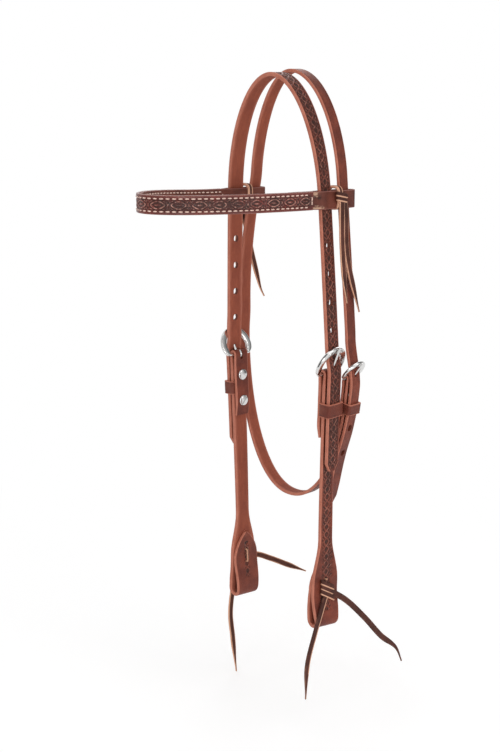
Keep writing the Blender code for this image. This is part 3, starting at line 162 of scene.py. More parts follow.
def light_room():
    for name, (place, aim, size, power) in SOFT_BOXES.items():
        lamp = bpy.data.lights.new(name, "AREA")
        lamp.energy, lamp.size = power, size
        box = stand_in_scene(name, lamp)
        box.location = place
        box.rotation_euler = (Vector(aim) - Vector(place)).to_track_quat("-Z", "Y").to_euler()
    world = bpy.data.worlds.new("room")
    world.use_nodes = True
    tree = world.node_tree
    tree.nodes.clear()
    path = add_node(tree, "LightPath")
    heading = add_node(tree, "SeparateXYZ", {0: add_node(tree, "TexCoord").outputs["Generated"]})
    turn = work_out(tree, "ARCTAN2", heading.outputs["Y"], heading.outputs["X"])
    share = add_node(tree, "MapRange", {0: turn, 1: -math.pi, 2: math.pi})
    strips = set_ramp(add_node(tree, "ValToRGB", {0: share.outputs[0]}), ROOM_STRIPS)
    white = add_node(tree, "Background", {0: WHITE, 1: 1}).outputs[0]
    room = add_node(tree, "Background", {0: WHITE, 1: ROOM_LIGHT}).outputs[0]
    glossy = add_node(tree, "Background", {0: strips, 1: 1}).outputs[0]
    lit = add_node(tree, "MixShader", {0: path.outputs["Is Glossy Ray"], 1: room, 2: glossy}).outputs[0]
    seen = add_node(tree, "MixShader", {0: path.outputs["Is Camera Ray"], 1: lit, 2: white}).outputs[0]
    add_node(tree, "OutputWorld", {0: seen})
    bpy.context.scene.world = world


def lay_floor():
    """A pale floor under the headstall that fades to the room's white further out."""
    mesh = bpy.data.meshes.new("studio_floor")
    disc = bmesh.new()
    bmesh.ops.create_circle(disc, cap_ends=True, segments=FLOOR_SIDES, radius=FLOOR_RADIUS)
    disc.to_mesh(mesh)
    disc.free()
    floor = stand_in_scene("studio_floor", mesh)
    floor.location.z = cad_box[0][2] - FLOOR_GAP
    material, tree = new_material("studio_floor")
    place = add_node(tree, "TexCoord").outputs["Object"]
    away = add_node(tree, "VectorMath", {0: place}, operation="LENGTH").outputs["Value"]
    fade = add_node(tree, "MapRange", {0: away, 1: 0.0, 2: SHADE_RADIUS}, interpolation_type="SMOOTHSTEP")
    seen = seen_rays(tree)
    outer = work_out(tree, "MULTIPLY", fade.outputs[0], seen)
    paint = add_node(tree, "MixRGB", {0: seen, 1: (FLOOR_PALE,) * 3 + (1,), 2: WHITE}).outputs[0]
    pale = add_node(tree, "BsdfDiffuse", {0: paint}).outputs[0]
    lift = work_out(tree, "MULTIPLY", seen, FLOOR_LIFT)
    glow = add_node(tree, "Emission", {0: WHITE, 1: lift}).outputs[0]
    near = add_node(tree, "AddShader", {0: pale, 1: glow}).outputs[0]
    white = add_node(tree, "Emission", {0: WHITE, 1: 1}).outputs[0]
    whole = add_node(tree, "MixShader", {0: outer, 1: near, 2: white}).outputs[0]
    add_node(tree, "OutputMaterial", {0: whole})
    mesh.materials.append(material)


light_room()
lay_floor()

# Crown strap
# One strip of 5/8 in russet strap leather, over the poll and down both sides into the cheek
# buckles. Its grain side is tooled with a two-strand twist and small lobes on a matted ground
# and rubbed with dark antique. Its cut edges are bevelled and pale, its flesh side is plain.
STRAP_WIDTH = 0.0159
STRAP_THICK = 0.0036
FINE_PITCH = 0.0006
FACE_COLUMNS = 33
BACK_COLUMNS = 5
SHARP_ANGLE = math.radians(50)
CLEARANCE = 0.0003
NEAR, FAR = 1, -1
SIDE_NAMES = {NEAR: "left", FAR: "right"}

# The cut edges: how they are rounded, how far their pale burnish runs on to the face, and how
# the tooling fades out before them
EDGE_ROUND = 0.0008
EDGE_TURN = np.radians((30, 60, 90))
EDGE_CUT_SHARE = 0.9
EDGE_PALE = 1.6
EDGE_PALE_MOST = 0.6
EDGE_FLESH = 0.3
TOOLED_SIDE_FADE = 2 * EDGE_ROUND
TOOLED_END_FADE = 4 * EDGE_ROUND

ARCH_HALF_WIDTH = 0.0506
ARCH_HEIGHT = 0.103
ARCH_FLARE_SHARE = 0.0565
ARCH_LEAN_SHARE = 0.035
ARCH_STEPS = 15
CROWN_RUN_STEPS = 7
CROWN_TURN = math.radians(6.5)
CROWN_APEX = Vector((0, -0.0047, STRAP_THICK / 2))
CROWN_CROSS_START = 0.0200
BUCKLE_DROP = 0.2607
BROW_DROP = 0.1052
RUN_STEPS = 8
BILLET_LENGTH = 0.091
BILLET_POINT = 0.0075
BILLET_TIP_SHARE = 0.45
HEAD_GAP = 0.0020
BILLET_OFFSET = STRAP_THICK + HEAD_GAP
LEAF_GAP = 0.0017
BAR_OFFSET = -(STRAP_THICK + LEAF_GAP) / 2
BAR_RADIUS = 0.0015
FRAME_LENGTH = 0.0252
FRAME_RIM = 0.0045
FRAME_THICK = 0.0030
FRAME_TILT = math.radians(22)
TONGUE_RADIUS = 0.00125
TONGUE_SWING = math.radians(8)
TONGUE_ROOM = 0.00035

# The cheek straps' own line, which the billets follow below the buckles
CHEEK_LENGTH = 0.2460
CHEEK_TOP = Vector((0.0607, 0.0043, 0))
CHEEK_INWARD = 0.0052
CHEEK_INWARD_POWER = 2.2
CHEEK_BACK_SHARE = 0.0145
CHEEK_TURN_TOP = math.radians(2.5)
CHEEK_TURN_FOOT = math.radians(-2.5)
BACK_LEAF_LENGTH = 0.060
BIT_END_LENGTH = 0.086
BIT_FLAP_LENGTH = 0.065
BIT_BEND_START = 0.050
BIT_BEND_RADIUS = 0.42
BIT_BULGE_LENGTH = 0.036
BIT_BULGES = {NEAR: 0.0060, FAR: 0.0015}

HOLE_PITCH = 0.0254
HOLE_RISES = {NEAR: 0.0397, FAR: 0.0356}
HOLE_LENGTH = 0.0064
HOLE_WIDTH = 0.0052
CROWN_HOLES = 4
HOLE_SIDES = 28
PUNCHED_SHADE = (0.75, 0)
PUNCHED_EDGE = (0, 0.5)


def ease(share):
    """Goes from 0 to 1 with level ends."""
    share = min(max(share, 0), 1)
    return share * share * (3 - 2 * share)


def between(start, end, share):
    return start + (end - start) * share


def side_axes(side, centre, down, turn):
    """Axes at a near-side point of a strap: x outward, y across and z up the strap."""
    across = Vector((-math.sin(turn), math.cos(turn), 0))
    across = (across - down * down.dot(across)).normalized()
    out = across.cross(-down)
    flip = Vector((side, 1, 1))
    out, up, centre = out * flip, -down * flip, centre * flip
    axes = Matrix((out, up.cross(out), up)).transposed().to_4x4()
    axes.translation = centre
    return axes


def cheek_centre(drop, side=NEAR):
    """Middle of a cheek strap this far below its buckle's bar, as on the near side."""
    share = min(drop / CHEEK_LENGTH, 1)
    level = min(drop, CHEEK_LENGTH - BIT_FLAP_LENGTH)
    inward = CHEEK_INWARD * (1 - (1 - max(share, 0)) ** CHEEK_INWARD_POWER)
    inward += min(share, 0) * CHEEK_INWARD * CHEEK_INWARD_POWER
    inward -= BIT_BULGES[side] * ease((drop - CHEEK_LENGTH) / BIT_BULGE_LENGTH + 1)
    bend = max(drop - CHEEK_LENGTH + BIT_BEND_START, 0) ** 2 / (2 * BIT_BEND_RADIUS)
    return CHEEK_TOP + Vector((-inward, CHEEK_BACK_SHARE * level - bend, -BUCKLE_DROP - drop))


def cheek_axes(drop, side=NEAR, offset=0.0):
    down = cheek_centre(drop + CLEARANCE, side) - cheek_centre(drop - CLEARANCE, side)
    if drop > CHEEK_LENGTH - BIT_FLAP_LENGTH:
        down.x = 0
    turned = ease((drop - BACK_LEAF_LENGTH) / (CHEEK_LENGTH - BIT_END_LENGTH - BACK_LEAF_LENGTH))
    turn = between(CHEEK_TURN_TOP, CHEEK_TURN_FOOT, turned)
    axes = side_axes(side, cheek_centre(drop, side), down.normalized(), turn)
    return axes @ Matrix.Translation((offset, 0, 0))


def station_on(axes, offset, width, thick, rise=0.0):
    """A strap station: its centre, the direction of its width, its width and its thickness."""
    return axes @ Vector((offset, 0, rise)), axes.col[1].to_3d(), width, thick


def mirrored(stations):
    flip = Vector((-1, 1, 1))
    return [(centre * flip, across * flip, width, thick) for centre, across, width, thick in stations]


def crown_centre(drop):
    rest = max(1 - drop / ARCH_HEIGHT, 0)
    reach = ARCH_HALF_WIDTH * math.sqrt(1 - rest * rest) + ARCH_FLARE_SHARE * drop
    return CROWN_APEX + Vector((reach, ARCH_LEAN_SHARE * drop, -drop))


def crown_turn(drop):
    settled = ease((drop - BROW_DROP) / (BUCKLE_DROP - CROWN_CROSS_START - BROW_DROP))
    return between(CROWN_TURN, CHEEK_TURN_TOP, settled) * ease(drop / ARCH_HEIGHT)


def crown_across(drop):
    return Vector((-math.sin(crown_turn(drop)), math.cos(crown_turn(drop)), 0))


def crown_half():
    """Stations of the near half of the crown strap, from the poll to the billet's tip."""
    half = []
    for step in range(ARCH_STEPS + 1):
        drop = ARCH_HEIGHT * (1 - math.cos(math.pi / 2 * step / ARCH_STEPS))
        half.append((crown_centre(drop), crown_across(drop), STRAP_WIDTH, STRAP_THICK))
    cross_drop = BUCKLE_DROP + CROWN_APEX.z - CROWN_CROSS_START
    bar = cheek_axes(0)
    outward = bar.col[0].to_3d()
    top = bar @ Vector((0, 0, CROWN_CROSS_START))
    rim = BAR_OFFSET + (FRAME_LENGTH - FRAME_RIM / 2) * math.sin(FRAME_TILT)
    rim -= FRAME_THICK / 2 / math.cos(FRAME_TILT) + STRAP_THICK / 2 + CLEARANCE
    pull = min(0, rim - (crown_centre(cross_drop) - top).dot(outward))
    for step in range(1, CROWN_RUN_STEPS + 1):
        share = step / CROWN_RUN_STEPS
        drop = between(ARCH_HEIGHT, cross_drop, share)
        centre = crown_centre(drop) + outward * (pull * ease(share) ** 2)
        half.append((centre, crown_across(drop), STRAP_WIDTH, STRAP_THICK))
    start_offset = (half[-1][0] - top).dot(outward)
    for step in range(1, RUN_STEPS + 1):
        share = step / RUN_STEPS
        offset = between(start_offset, BILLET_OFFSET, ease(share))
        axes = cheek_axes(between(-CROWN_CROSS_START, 0, share))
        half.append(station_on(axes, offset, STRAP_WIDTH, STRAP_THICK))
    for step in range(1, RUN_STEPS + 1):
        drop = (BILLET_LENGTH - BILLET_POINT) * step / RUN_STEPS
        half.append(station_on(cheek_axes(drop), BILLET_OFFSET, STRAP_WIDTH, STRAP_THICK))
    tip = cheek_axes(BILLET_LENGTH)
    half.append(station_on(tip, BILLET_OFFSET, STRAP_WIDTH * BILLET_TIP_SHARE, STRAP_THICK))
    return half


def draw_out(stations, pitch):
    """The stations drawn out at an even, fine pitch along a smooth line through them."""
    centres, sideways, widths, thicks = (np.array([station[i] for station in stations]) for i in range(4))
    steps = np.linalg.norm(np.diff(centres, axis=0), axis=1)
    run = np.concatenate(([0], np.cumsum(steps)))
    slopes = np.diff(centres, axis=0) / steps[:, None]
    share = (steps[:-1] / (steps[:-1] + steps[1:]))[:, None]
    tangents = np.vstack((slopes[:1], slopes[:-1] * (1 - share) + slopes[1:] * share, slopes[-1:]))
    at = np.linspace(0, run[-1], max(int(round(run[-1] / pitch)), 2) + 1)
    i = np.clip(np.searchsorted(run, at, side="right") - 1, 0, len(steps) - 1)
    length = steps[i][:, None]
    t = (at - run[i])[:, None] / length
    fine = ((2 * t ** 3 - 3 * t ** 2 + 1) * centres[i] + (t ** 3 - 2 * t ** 2 + t) * length * tangents[i]
            + (3 * t ** 2 - 2 * t ** 3) * centres[i + 1] + (t ** 3 - t ** 2) * length * tangents[i + 1])
    sideways = sideways[i] * (1 - t) + sideways[i + 1] * t
    return fine, sideways, np.interp(at, run, widths), np.interp(at, run, thicks), at


def face_outward(mesh):
    """Turns the mesh's faces so that all of them point outward."""
    shape = bmesh.new()
    shape.from_mesh(mesh)
    bmesh.ops.recalc_face_normals(shape, faces=shape.faces[:])
    shape.to_mesh(mesh)
    shape.free()


def skin(name, rings, maps=(), closed=False):
    """A closed skin over rings of points. The maps are written as UV layers for the materials."""
    rings = np.asarray(rings, dtype=float)
    rows, count, _ = rings.shape
    index = np.arange(rows * count).reshape(rows, count)
    ahead = np.vstack((index[1:], index[:1])) if closed else index[1:]
    behind = index if closed else index[:-1]
    quads = np.stack((behind, np.roll(behind, -1, axis=1), np.roll(ahead, -1, axis=1), ahead), axis=-1)
    faces = quads.reshape(-1, 4).tolist()
    if not closed:
        faces += [index[0][::-1].tolist(), index[-1].tolist()]
    mesh = bpy.data.meshes.new(name)
    mesh.from_pydata(rings.reshape(-1, 3).tolist(), [], faces)
    face_outward(mesh)
    corners = np.empty(len(mesh.loops), np.int32)
    mesh.loops.foreach_get("vertex_index", corners)
    for layer, values in dict(maps).items():
        flat = np.asarray(values, dtype=np.float32).reshape(-1, 2)[corners]
        mesh.uv_layers.new(name=layer).data.foreach_set("uv", flat.ravel())
    mesh.shade_smooth()
    mesh.set_sharp_from_angle(angle=SHARP_ANGLE)
    return stand_in_scene(name, mesh)


def strap_profile(columns):
    """The section's points, from the grain side round the cut edges to the flesh side, each as
    shares of the flat half width and of the edge's rounding, with its rim and flesh marks."""
    face = [(share, 0, 1, 1, 0, 0) for share in np.linspace(-1, 1, columns)]
    turn = [(math.sin(angle), math.cos(angle)) for angle in EDGE_TURN]
    right = [(1, s, 1, c, 1, 0) for s, c in turn] + [(1, s, -1, -c, 1, EDGE_FLESH) for s, c in turn[::-1]]
    back = [(share, 0, -1, -1, 0, 1) for share in np.linspace(1, -1, BACK_COLUMNS)]
    left = [(-x, -s, y, c, rim, flesh) for x, s, y, c, rim, flesh in right[::-1]]
    return np.array(face + right + back + left, dtype=float).T


def marked(dark, light, rim, flesh, run, across):
    """The maps that the leather reads: how dark it is and how light (rubbed tops and a painted
    highlight), whether it is rim or flesh side, and where it lies on its strip."""
    return {"tooling": np.stack((dark, light), axis=-1), "edge": np.stack((rim, flesh), axis=-1),
            "run": np.stack((run, across), axis=-1)}


def lay_strap(name, stations, tooling=None, pitch=FINE_PITCH, columns=FACE_COLUMNS, grain=-1,
              rounding=EDGE_ROUND):
    """A strap along its stations, with rounded cut edges and a tooled grain side. The tooling
    gives, for each point of the face, how far it is pressed in, how dark it is, and how light it
    is from rubbing and a painted highlight."""
    centres, sideways, widths, thicks, run = draw_out(stations, pitch)
    along = np.gradient(centres, run, axis=0)
    along /= np.linalg.norm(along, axis=1)[:, None]
    sideways = sideways - along * np.sum(along * sideways, axis=1)[:, None]
    sideways /= np.linalg.norm(sideways, axis=1)[:, None]
    out = np.cross(along, sideways) * grain
    flat_x, round_x, flat_y, round_y, rim, flesh = strap_profile(columns)
    half, rise = widths[:, None] / 2, thicks[:, None] / 2
    cut = np.minimum(rounding, np.minimum(half, rise) * EDGE_CUT_SHARE)
    x = flat_x * (half - cut) + round_x * cut
    y = flat_y * (rise - cut) + round_y * cut
    dark, light = np.zeros_like(x), np.zeros_like(x)
    if tooling:
        face = slice(0, columns)
        inner = np.clip((half - np.abs(x[:, face])) / TOOLED_SIDE_FADE, 0, 1)
        ends = np.clip(np.minimum(run, run[-1] - run) / TOOLED_END_FADE, 0, 1)[:, None]
        depth, dark[:, face], light[:, face] = tooling(run[:, None], x[:, face])
        y[:, face] -= depth * inner * ends
        dark[:, face] *= ends
        light[:, face] *= ends
    points = centres[:, None] + sideways[:, None] * x[..., None] + out[:, None] * y[..., None]
    rows = np.ones_like(x)
    rim = np.maximum(rim * rows, np.clip(EDGE_PALE - (half - np.abs(x)) / rounding, 0, EDGE_PALE_MOST))
    return skin(name, points, marked(dark, light, rim, flesh * rows, run[:, None] * rows, x))


# The tooled border: how far apart its two strands cross, how far they swing out, the lobes
# stamped beside each crossing, and how the shares of a mark's depth and darkness are made up
STRAND_DEPTH = 0.00070
STRAND_CROSSING = 0.0074
STRAND_SWING = 0.0030
STRAND_RADIUS = 0.00085
LOBE_LENGTH = 0.0025
LOBE_WIDTH = 0.00085
LOBE_LEAN = math.radians(42)
LOBE_PLACES = (0.0043, 0.0052)
BORDER_HALF = 0.0062
BORDER_GROUND = 0.45
BORDER_SCALLOP = 0.0006
BEVEL_REACH = 0.0009
MATTING_PITCH = 0.00115
GROUND_PRESS, BEVEL_PRESS, MATTING_PRESS = 0.55, 0.45, 0.10
BEVEL_DARK, MATTING_DARK = 0.62, 0.15
BORDER_SOFTNESS = 0.8
CLEANED_TOP = 1.5
# How far down the raised lines their light reaches: rubbed leather and a painted highlight
RUBBED_HIGHLIGHT_TOP = 1.6
UNDER_SHARE = 0.8
OPEN_LENGTH_SHARE = 0.34
OPEN_SHADE = 0.3
LOBE_HEIGHT_SHARE = 0.9


def rounded(distance, radius):
    """Height of a round line's top over its axis, in shares of its radius."""
    return np.sqrt(np.clip(1 - (distance / radius) ** 2, 0, 1))


def struck(run, across, raised, apart, border, ground):
    """The struck leather: raised is the height of the lines, apart how far off them a point is,
    border how far inside the border, and ground how dark the matted ground is. It is darkest
    beside the lines. Its raised tops are marked light, for rubbed leather and a painted highlight."""
    inside = np.clip(0.5 + border / (BORDER_SOFTNESS * STRAND_RADIUS), 0, 1)
    bevel = np.clip(1 - apart / BEVEL_REACH, 0, 1)
    matting = np.sin(run * 2 * np.pi / MATTING_PITCH) * np.sin(across * 2 * np.pi / MATTING_PITCH)
    press = GROUND_PRESS + BEVEL_PRESS * bevel + MATTING_PRESS * matting
    pressed = STRAND_DEPTH * inside * (1 - raised) * press
    dark = inside * np.clip(1 - CLEANED_TOP * raised, 0, 1)
    dark = dark * np.clip(ground + BEVEL_DARK * bevel - MATTING_DARK * matting, 0, 1)
    # The third value lightens the raised tops: partly rubbed leather, partly a painted highlight
    return pressed, dark, inside * np.clip(1 - RUBBED_HIGHLIGHT_TOP * (1 - raised), 0, 1)


def from_nearest(run, pitch, start=0.0):
    """How far along the strap a point lies from the nearest of the marks at this pitch."""
    return ((run / pitch + start) % 1 - 0.5) * pitch


def slanted(along, across, lean, length, width):
    """A slanted lobe about the origin: its height, and how far off it a point is."""
    ahead = along * math.cos(lean) + across * math.sin(lean)
    off = across * math.cos(lean) - along * math.sin(lean)
    far = np.hypot(ahead / length, off / width)
    return rounded(far, 1), np.maximum(far - 1, 0) * width


def strand_tooling(run, across, half=BORDER_HALF, ground=BORDER_GROUND):
    """Two strands that pass over and under each other, with eyes and lobes between them."""
    phase = np.pi * run / STRAND_CROSSING
    wave = STRAND_SWING * np.sin(phase)
    level = 1 / np.sqrt(1 + (STRAND_SWING * np.pi / STRAND_CROSSING * np.cos(phase)) ** 2)
    off_first, off_second = np.abs(across - wave) * level, np.abs(across + wave) * level
    meet = np.clip(1 - np.abs(wave) / STRAND_RADIUS, 0, 1)
    over = (np.cos(phase) > 0) * 1.0
    raised = np.maximum(rounded(off_first, STRAND_RADIUS) * (1 - UNDER_SHARE * meet * (1 - over)),
                        rounded(off_second, STRAND_RADIUS) * (1 - UNDER_SHARE * meet * over))
    apart = np.maximum(np.minimum(off_first, off_second) - STRAND_RADIUS, 0)
    eye = from_nearest(run, STRAND_CROSSING) + 0 * across
    crossed = from_nearest(run, STRAND_CROSSING, 0.5) + 0 * across
    reach = np.hypot(eye / (OPEN_LENGTH_SHARE * STRAND_CROSSING), across / STRAND_SWING)
    shaded = OPEN_SHADE * rounded(reach, 1)
    for hand in (1, -1):
        for place, lean in ((LOBE_PLACES[0], LOBE_LEAN), (LOBE_PLACES[1], -LOBE_LEAN)):
            along = crossed if lean > 0 else eye
            height, off = slanted(along, across - hand * place, hand * lean, LOBE_LENGTH, LOBE_WIDTH)
            raised, apart = np.maximum(raised, height * LOBE_HEIGHT_SHARE), np.minimum(apart, off)
    border = half + BORDER_SCALLOP * np.cos(2 * phase) - np.abs(across)
    return struck(run, across, raised, apart, border, ground + shaded)


def oval(length, width):
    """An oval with straight flanks, its length along x, or a circle if it is as wide as long."""
    radius, straight = width / 2, (length - width) / 2
    angles = [math.tau * (i + 0.5) / HOLE_SIDES for i in range(HOLE_SIDES)]
    return [(radius * math.cos(a) + math.copysign(straight, math.cos(a)), radius * math.sin(a))
            for a in angles]


def outward_axes(axes):
    """The axes turned so that z points outward, for holes through a strap."""
    return axes @ Matrix(((0, 0, 1, 0), (0, 1, 0, 0), (1, 0, 0, 0), (0, 0, 0, 1)))


def punch(strap, cuts):
    """Cuts prisms out of the strap. A cut is its axes, its outline, and where it starts and ends."""
    shape = bmesh.new()
    layers = {key: shape.loops.layers.uv.new(key) for key in ("tooling", "edge", "run")}
    for axes, outline, low, high in cuts:
        rings = [[shape.verts.new(axes @ Vector((x, y, level))) for x, y in outline]
                 for level in (low, high)]
        faces = [shape.faces.new(rings[0]), shape.faces.new(rings[1])]
        count = len(outline)
        for i in range(count):
            j = (i + 1) % count
            faces.append(shape.faces.new((rings[0][i], rings[0][j], rings[1][j], rings[1][i])))
        bmesh.ops.recalc_face_normals(shape, faces=faces)
        for face in faces:
            for corner in face.loops:
                corner[layers["tooling"]].uv = PUNCHED_SHADE
                corner[layers["edge"]].uv = PUNCHED_EDGE
    mesh = bpy.data.meshes.new("punch")
    shape.to_mesh(mesh)
    shape.free()
    tool = stand_in_scene("punch", mesh)
    modifier = strap.modifiers.new("punched", "BOOLEAN")
    modifier.operation, modifier.solver, modifier.object = "DIFFERENCE", "EXACT", tool
    bpy.context.view_layer.update()
    graph = bpy.context.evaluated_depsgraph_get()
    cut = bpy.data.meshes.new_from_object(strap.evaluated_get(graph))
    strap.modifiers.clear()
    strap.data = cut
    cut.shade_smooth()
    cut.set_sharp_from_angle(angle=SHARP_ANGLE)
    bpy.data.objects.remove(tool)


def tongue_room(axes, tilt, bar_radius, tongue_radius, reach):
    """The slot that the buckle's tongue needs through the billet."""
    offset = bar_radius + CLEARANCE + tongue_radius
    room = tongue_radius + TONGUE_ROOM
    outline = []
    for height, lift, end in ((offset - room, 0, 0), (offset - room, 0, 1),
                              (offset + room, TONGUE_SWING, 1), (offset + room, TONGUE_SWING, 0)):
        along = between(offset, reach, end)
        lean = tilt + lift
        outline.append((height * math.cos(lean) + along * math.sin(lean),
                        along * math.cos(lean) - height * math.sin(lean)))
    turned = axes @ Matrix(((1, 0, 0, 0), (0, 0, -1, 0), (0, 1, 0, 0), (0, 0, 0, 1)))
    return turned, outline, -room, room


RUSSET = (0.225, 0.050, 0.027)
RUSSET_DEEP = (0.140, 0.030, 0.018)
RUSSET_TOOLED = (0.148, 0.034, 0.020)
ANTIQUE = (0.040, 0.015, 0.011)
# Lighter colour of the raised tooled tops: partly rubbed leather, partly a painted highlight
RUBBED_HIGHLIGHT = (0.38, 0.148, 0.106)
PALE_EDGE = (0.58, 0.215, 0.145)
PALE_EDGE_DEEP = (0.38, 0.115, 0.070)
FLESH_SIDE = (0.37, 0.098, 0.052)
FLESH_SIDE_DEEP = (0.235, 0.058, 0.034)
UNDYED = (FLESH_SIDE, FLESH_SIDE_DEEP, PALE_EDGE, PALE_EDGE_DEEP)


def leather(name, face, face_deep, flesh, flesh_deep, edge, edge_deep, antique=ANTIQUE, rubbed_highlight=RUBBED_HIGHLIGHT,
            roughness=0.46, grain_depth=0.00006, gloss=0.24):
    """Vegetable-tanned strap leather: a mottled, finely grained and waxed face, dark antique in
    what is pressed in, raised tops painted lighter as rubbed leather and a painted highlight, a
    fibrous flesh side and pale, burnished cut edges."""
    material, tree = new_material(name)
    place = add_node(tree, "TexCoord").outputs["Object"]
    strip = add_node(tree, "UVMap", uv_map="run").outputs[0]
    tooled = add_node(tree, "SeparateXYZ", {0: add_node(tree, "UVMap", uv_map="tooling").outputs[0]})
    edged = add_node(tree, "SeparateXYZ", {0: add_node(tree, "UVMap", uv_map="edge").outputs[0]})
    pressed, lit = tooled.outputs["X"], tooled.outputs["Y"]
    on_rim, on_flesh = edged.outputs["X"], edged.outputs["Y"]

    def noise(where, scale, detail, roughness):
        return add_node(tree, "TexNoise", {"Vector": where, "Scale": scale, "Detail": detail,
                                           "Roughness": roughness}).outputs["Fac"]

    def mix(factor, *colours):
        pair = [colour if isinstance(colour, bpy.types.NodeSocket) else (*colour, 1) for colour in colours]
        return add_node(tree, "MixRGB", {0: factor, 1: pair[0], 2: pair[1]}).outputs[0]

    def spread(source, low, high, out_low=0.0, out_high=1.0):
        return add_node(tree, "MapRange", {0: source, 1: low, 2: high, 3: out_low, 4: out_high}).outputs[0]

    # What the hide itself varies by: clouds, patches and specks of dye, grain cells and fibres
    clouds = noise(place, 55, 4, 0.6)
    patches = noise(place, 330, 2, 0.6)
    specks = noise(place, 900, 3, 0.7)
    cells = add_node(tree, "TexVoronoi", {"Vector": place, "Scale": 1900, "Randomness": 1},
                     feature="DISTANCE_TO_EDGE").outputs["Distance"]
    fibres = noise(add_node(tree, "Mapping", {0: strip, 3: (60, 1400, 1)}).outputs[0], 1, 4, 0.65)

    # The dyed face, with antique left in the grain
    colour = mix(spread(clouds, 0.40, 0.60), face_deep, face)
    colour = mix(spread(specks, 0.42, 0.75, 0, 0.35), colour, face_deep)
    colour = mix(spread(cells, 0.02, 0.10, 0.22, 0), colour, antique)

    # Antique in what is pressed in, smeared over the lines in places, and rubbed off elsewhere.
    # The raised tops take the lighter colour: partly rubbed leather, partly a painted highlight.
    stain = work_out(tree, "ADD", pressed, spread(patches, 0.3, 0.7, -0.45, 0.22), clamp=True)
    dark = work_out(tree, "MULTIPLY", spread(pressed, 0.02, 0.12), spread(stain, 0.12, 0.7, 0, 0.95))
    colour = mix(dark, colour, antique)
    smear = work_out(tree, "MULTIPLY", spread(lit, 0, 0.3), spread(clouds, 0.38, 0.56, 0.75, 0))
    colour = mix(smear, colour, antique)
    bright = work_out(tree, "MULTIPLY", spread(lit, 0.35, 1), spread(patches, 0.42, 0.64, 0.02, 0.9))
    bare = spread(work_out(tree, "MULTIPLY_ADD", patches, -1.3, lit), 0.9, 1.55)
    colour = mix(work_out(tree, "ADD", bright, bare, clamp=True), colour, rubbed_highlight)

    # The flesh side and the cut edges
    under = mix(spread(fibres, 0.3, 0.7), flesh_deep, flesh)
    under = mix(spread(clouds, 0.44, 0.62, 0, 0.65), under, flesh_deep)
    colour = mix(on_flesh, colour, under)
    side = mix(spread(fibres, 0.25, 0.75), edge_deep, edge)
    worn = work_out(tree, "ADD", on_rim, spread(clouds, 0.3, 0.7, -0.25, 0.12), clamp=True)
    colour = mix(spread(worn, 0.15, 0.85), colour, side)

    # Waxed tops shine more and the flesh side less, over pores and loose fibres
    sheen = spread(specks, 0.3, 0.7, roughness - 0.08, roughness + 0.14)
    sheen = work_out(tree, "SUBTRACT", sheen, spread(lit, 0, 1, 0, 0.16))
    sheen = work_out(tree, "ADD", sheen, work_out(tree, "MULTIPLY", on_flesh, 0.28))
    height = work_out(tree, "ADD", spread(cells, 0, 0.12), clouds)
    pores = add_node(tree, "Bump", {"Height": height, "Distance": grain_depth, "Strength": 0.55}).outputs[0]
    fluff = add_node(tree, "Bump", {"Height": fibres, "Distance": 0.00022, "Normal": pores,
                                    "Strength": work_out(tree, "MULTIPLY", on_flesh, 0.8)}).outputs[0]
    shader = add_node(tree, "BsdfPrincipled", {"Base Color": colour, "Roughness": sheen, "Normal": fluff,
                                               "Specular IOR Level": gloss})
    add_node(tree, "OutputMaterial", {0: shader.outputs[0]})
    return material


def make_crown_strap():
    near = crown_half()
    strap = lay_strap("crown_strap_tooled", near[::-1] + mirrored(near)[1:], strand_tooling)
    cuts = []
    for side in (NEAR, FAR):
        for number in range(CROWN_HOLES):
            drop = BUCKLE_DROP + CROWN_APEX.z - HOLE_RISES[side] - HOLE_PITCH * number
            down = (crown_centre(drop + CLEARANCE) - crown_centre(drop - CLEARANCE)).normalized()
            axes = outward_axes(side_axes(side, crown_centre(drop), down, crown_turn(drop)))
            cuts.append((axes, oval(HOLE_LENGTH, HOLE_WIDTH), -STRAP_WIDTH / 2, STRAP_WIDTH / 2))
        cuts.append(tongue_room(cheek_axes(0, side, BAR_OFFSET), FRAME_TILT, BAR_RADIUS, TONGUE_RADIUS,
                                FRAME_LENGTH - FRAME_RIM))
    punch(strap, cuts)
    strap.data.materials.append(leather("crown_leather", RUSSET_TOOLED, RUSSET_DEEP, *UNDYED))
    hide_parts("crown_strap")
    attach(strap, "straps")


make_crown_strap()

# Throat latch strap
# A narrower strip of the same leather, plain, with a creased line along both edges. It goes
# over the poll behind the crown strap, hangs in a loop round the throat and is folded over its
# own buckle on the near side, where its billet comes down from the poll.
THROAT_WIDTH = 0.0127
THROAT_THICK = 0.0030
THROAT_ARCH_HALF_WIDTH = 0.0468
THROAT_ARCH_HEIGHT = 0.095
THROAT_FLARE_SHARE = 0.08
THROAT_APEX = Vector((0, 0.0182, 0.0035 + THROAT_THICK / 2))
THROAT_BACK_DRIFT = 0.0058
THROAT_TURN = math.radians(3)
THROAT_BUCKLE_DROP = BUCKLE_DROP + 0.0065
THROAT_LOOP_RISE = 0.0260
THROAT_LOOP_TOP_DROP = THROAT_BUCKLE_DROP - THROAT_LOOP_RISE
THROAT_LOOP_HEIGHT = 0.1498
THROAT_LOOP_HALF_WIDTH = 0.0682
THROAT_LOOP_POWER = 2.15
THROAT_LOOP_STEPS = 15
LEVEL_STEPS = 400
THROAT_BUCKLE_BACK = 0.0260
THROAT_BOTTOM_BACK = 0.0215
THROAT_FAR_BACK = 0.0240
THROAT_FAR_OUT = 0.0030
THROAT_FAR_DIP = 0.0055
THROAT_CROSS_START = 0.040
THROAT_CROSS_END = 0.006
THROAT_BILLET_LENGTH = THROAT_LOOP_HEIGHT - THROAT_LOOP_RISE - 0.0103
THROAT_HEAD_GAP = 0.0019
THROAT_BILLET_OFFSET = THROAT_THICK + THROAT_HEAD_GAP
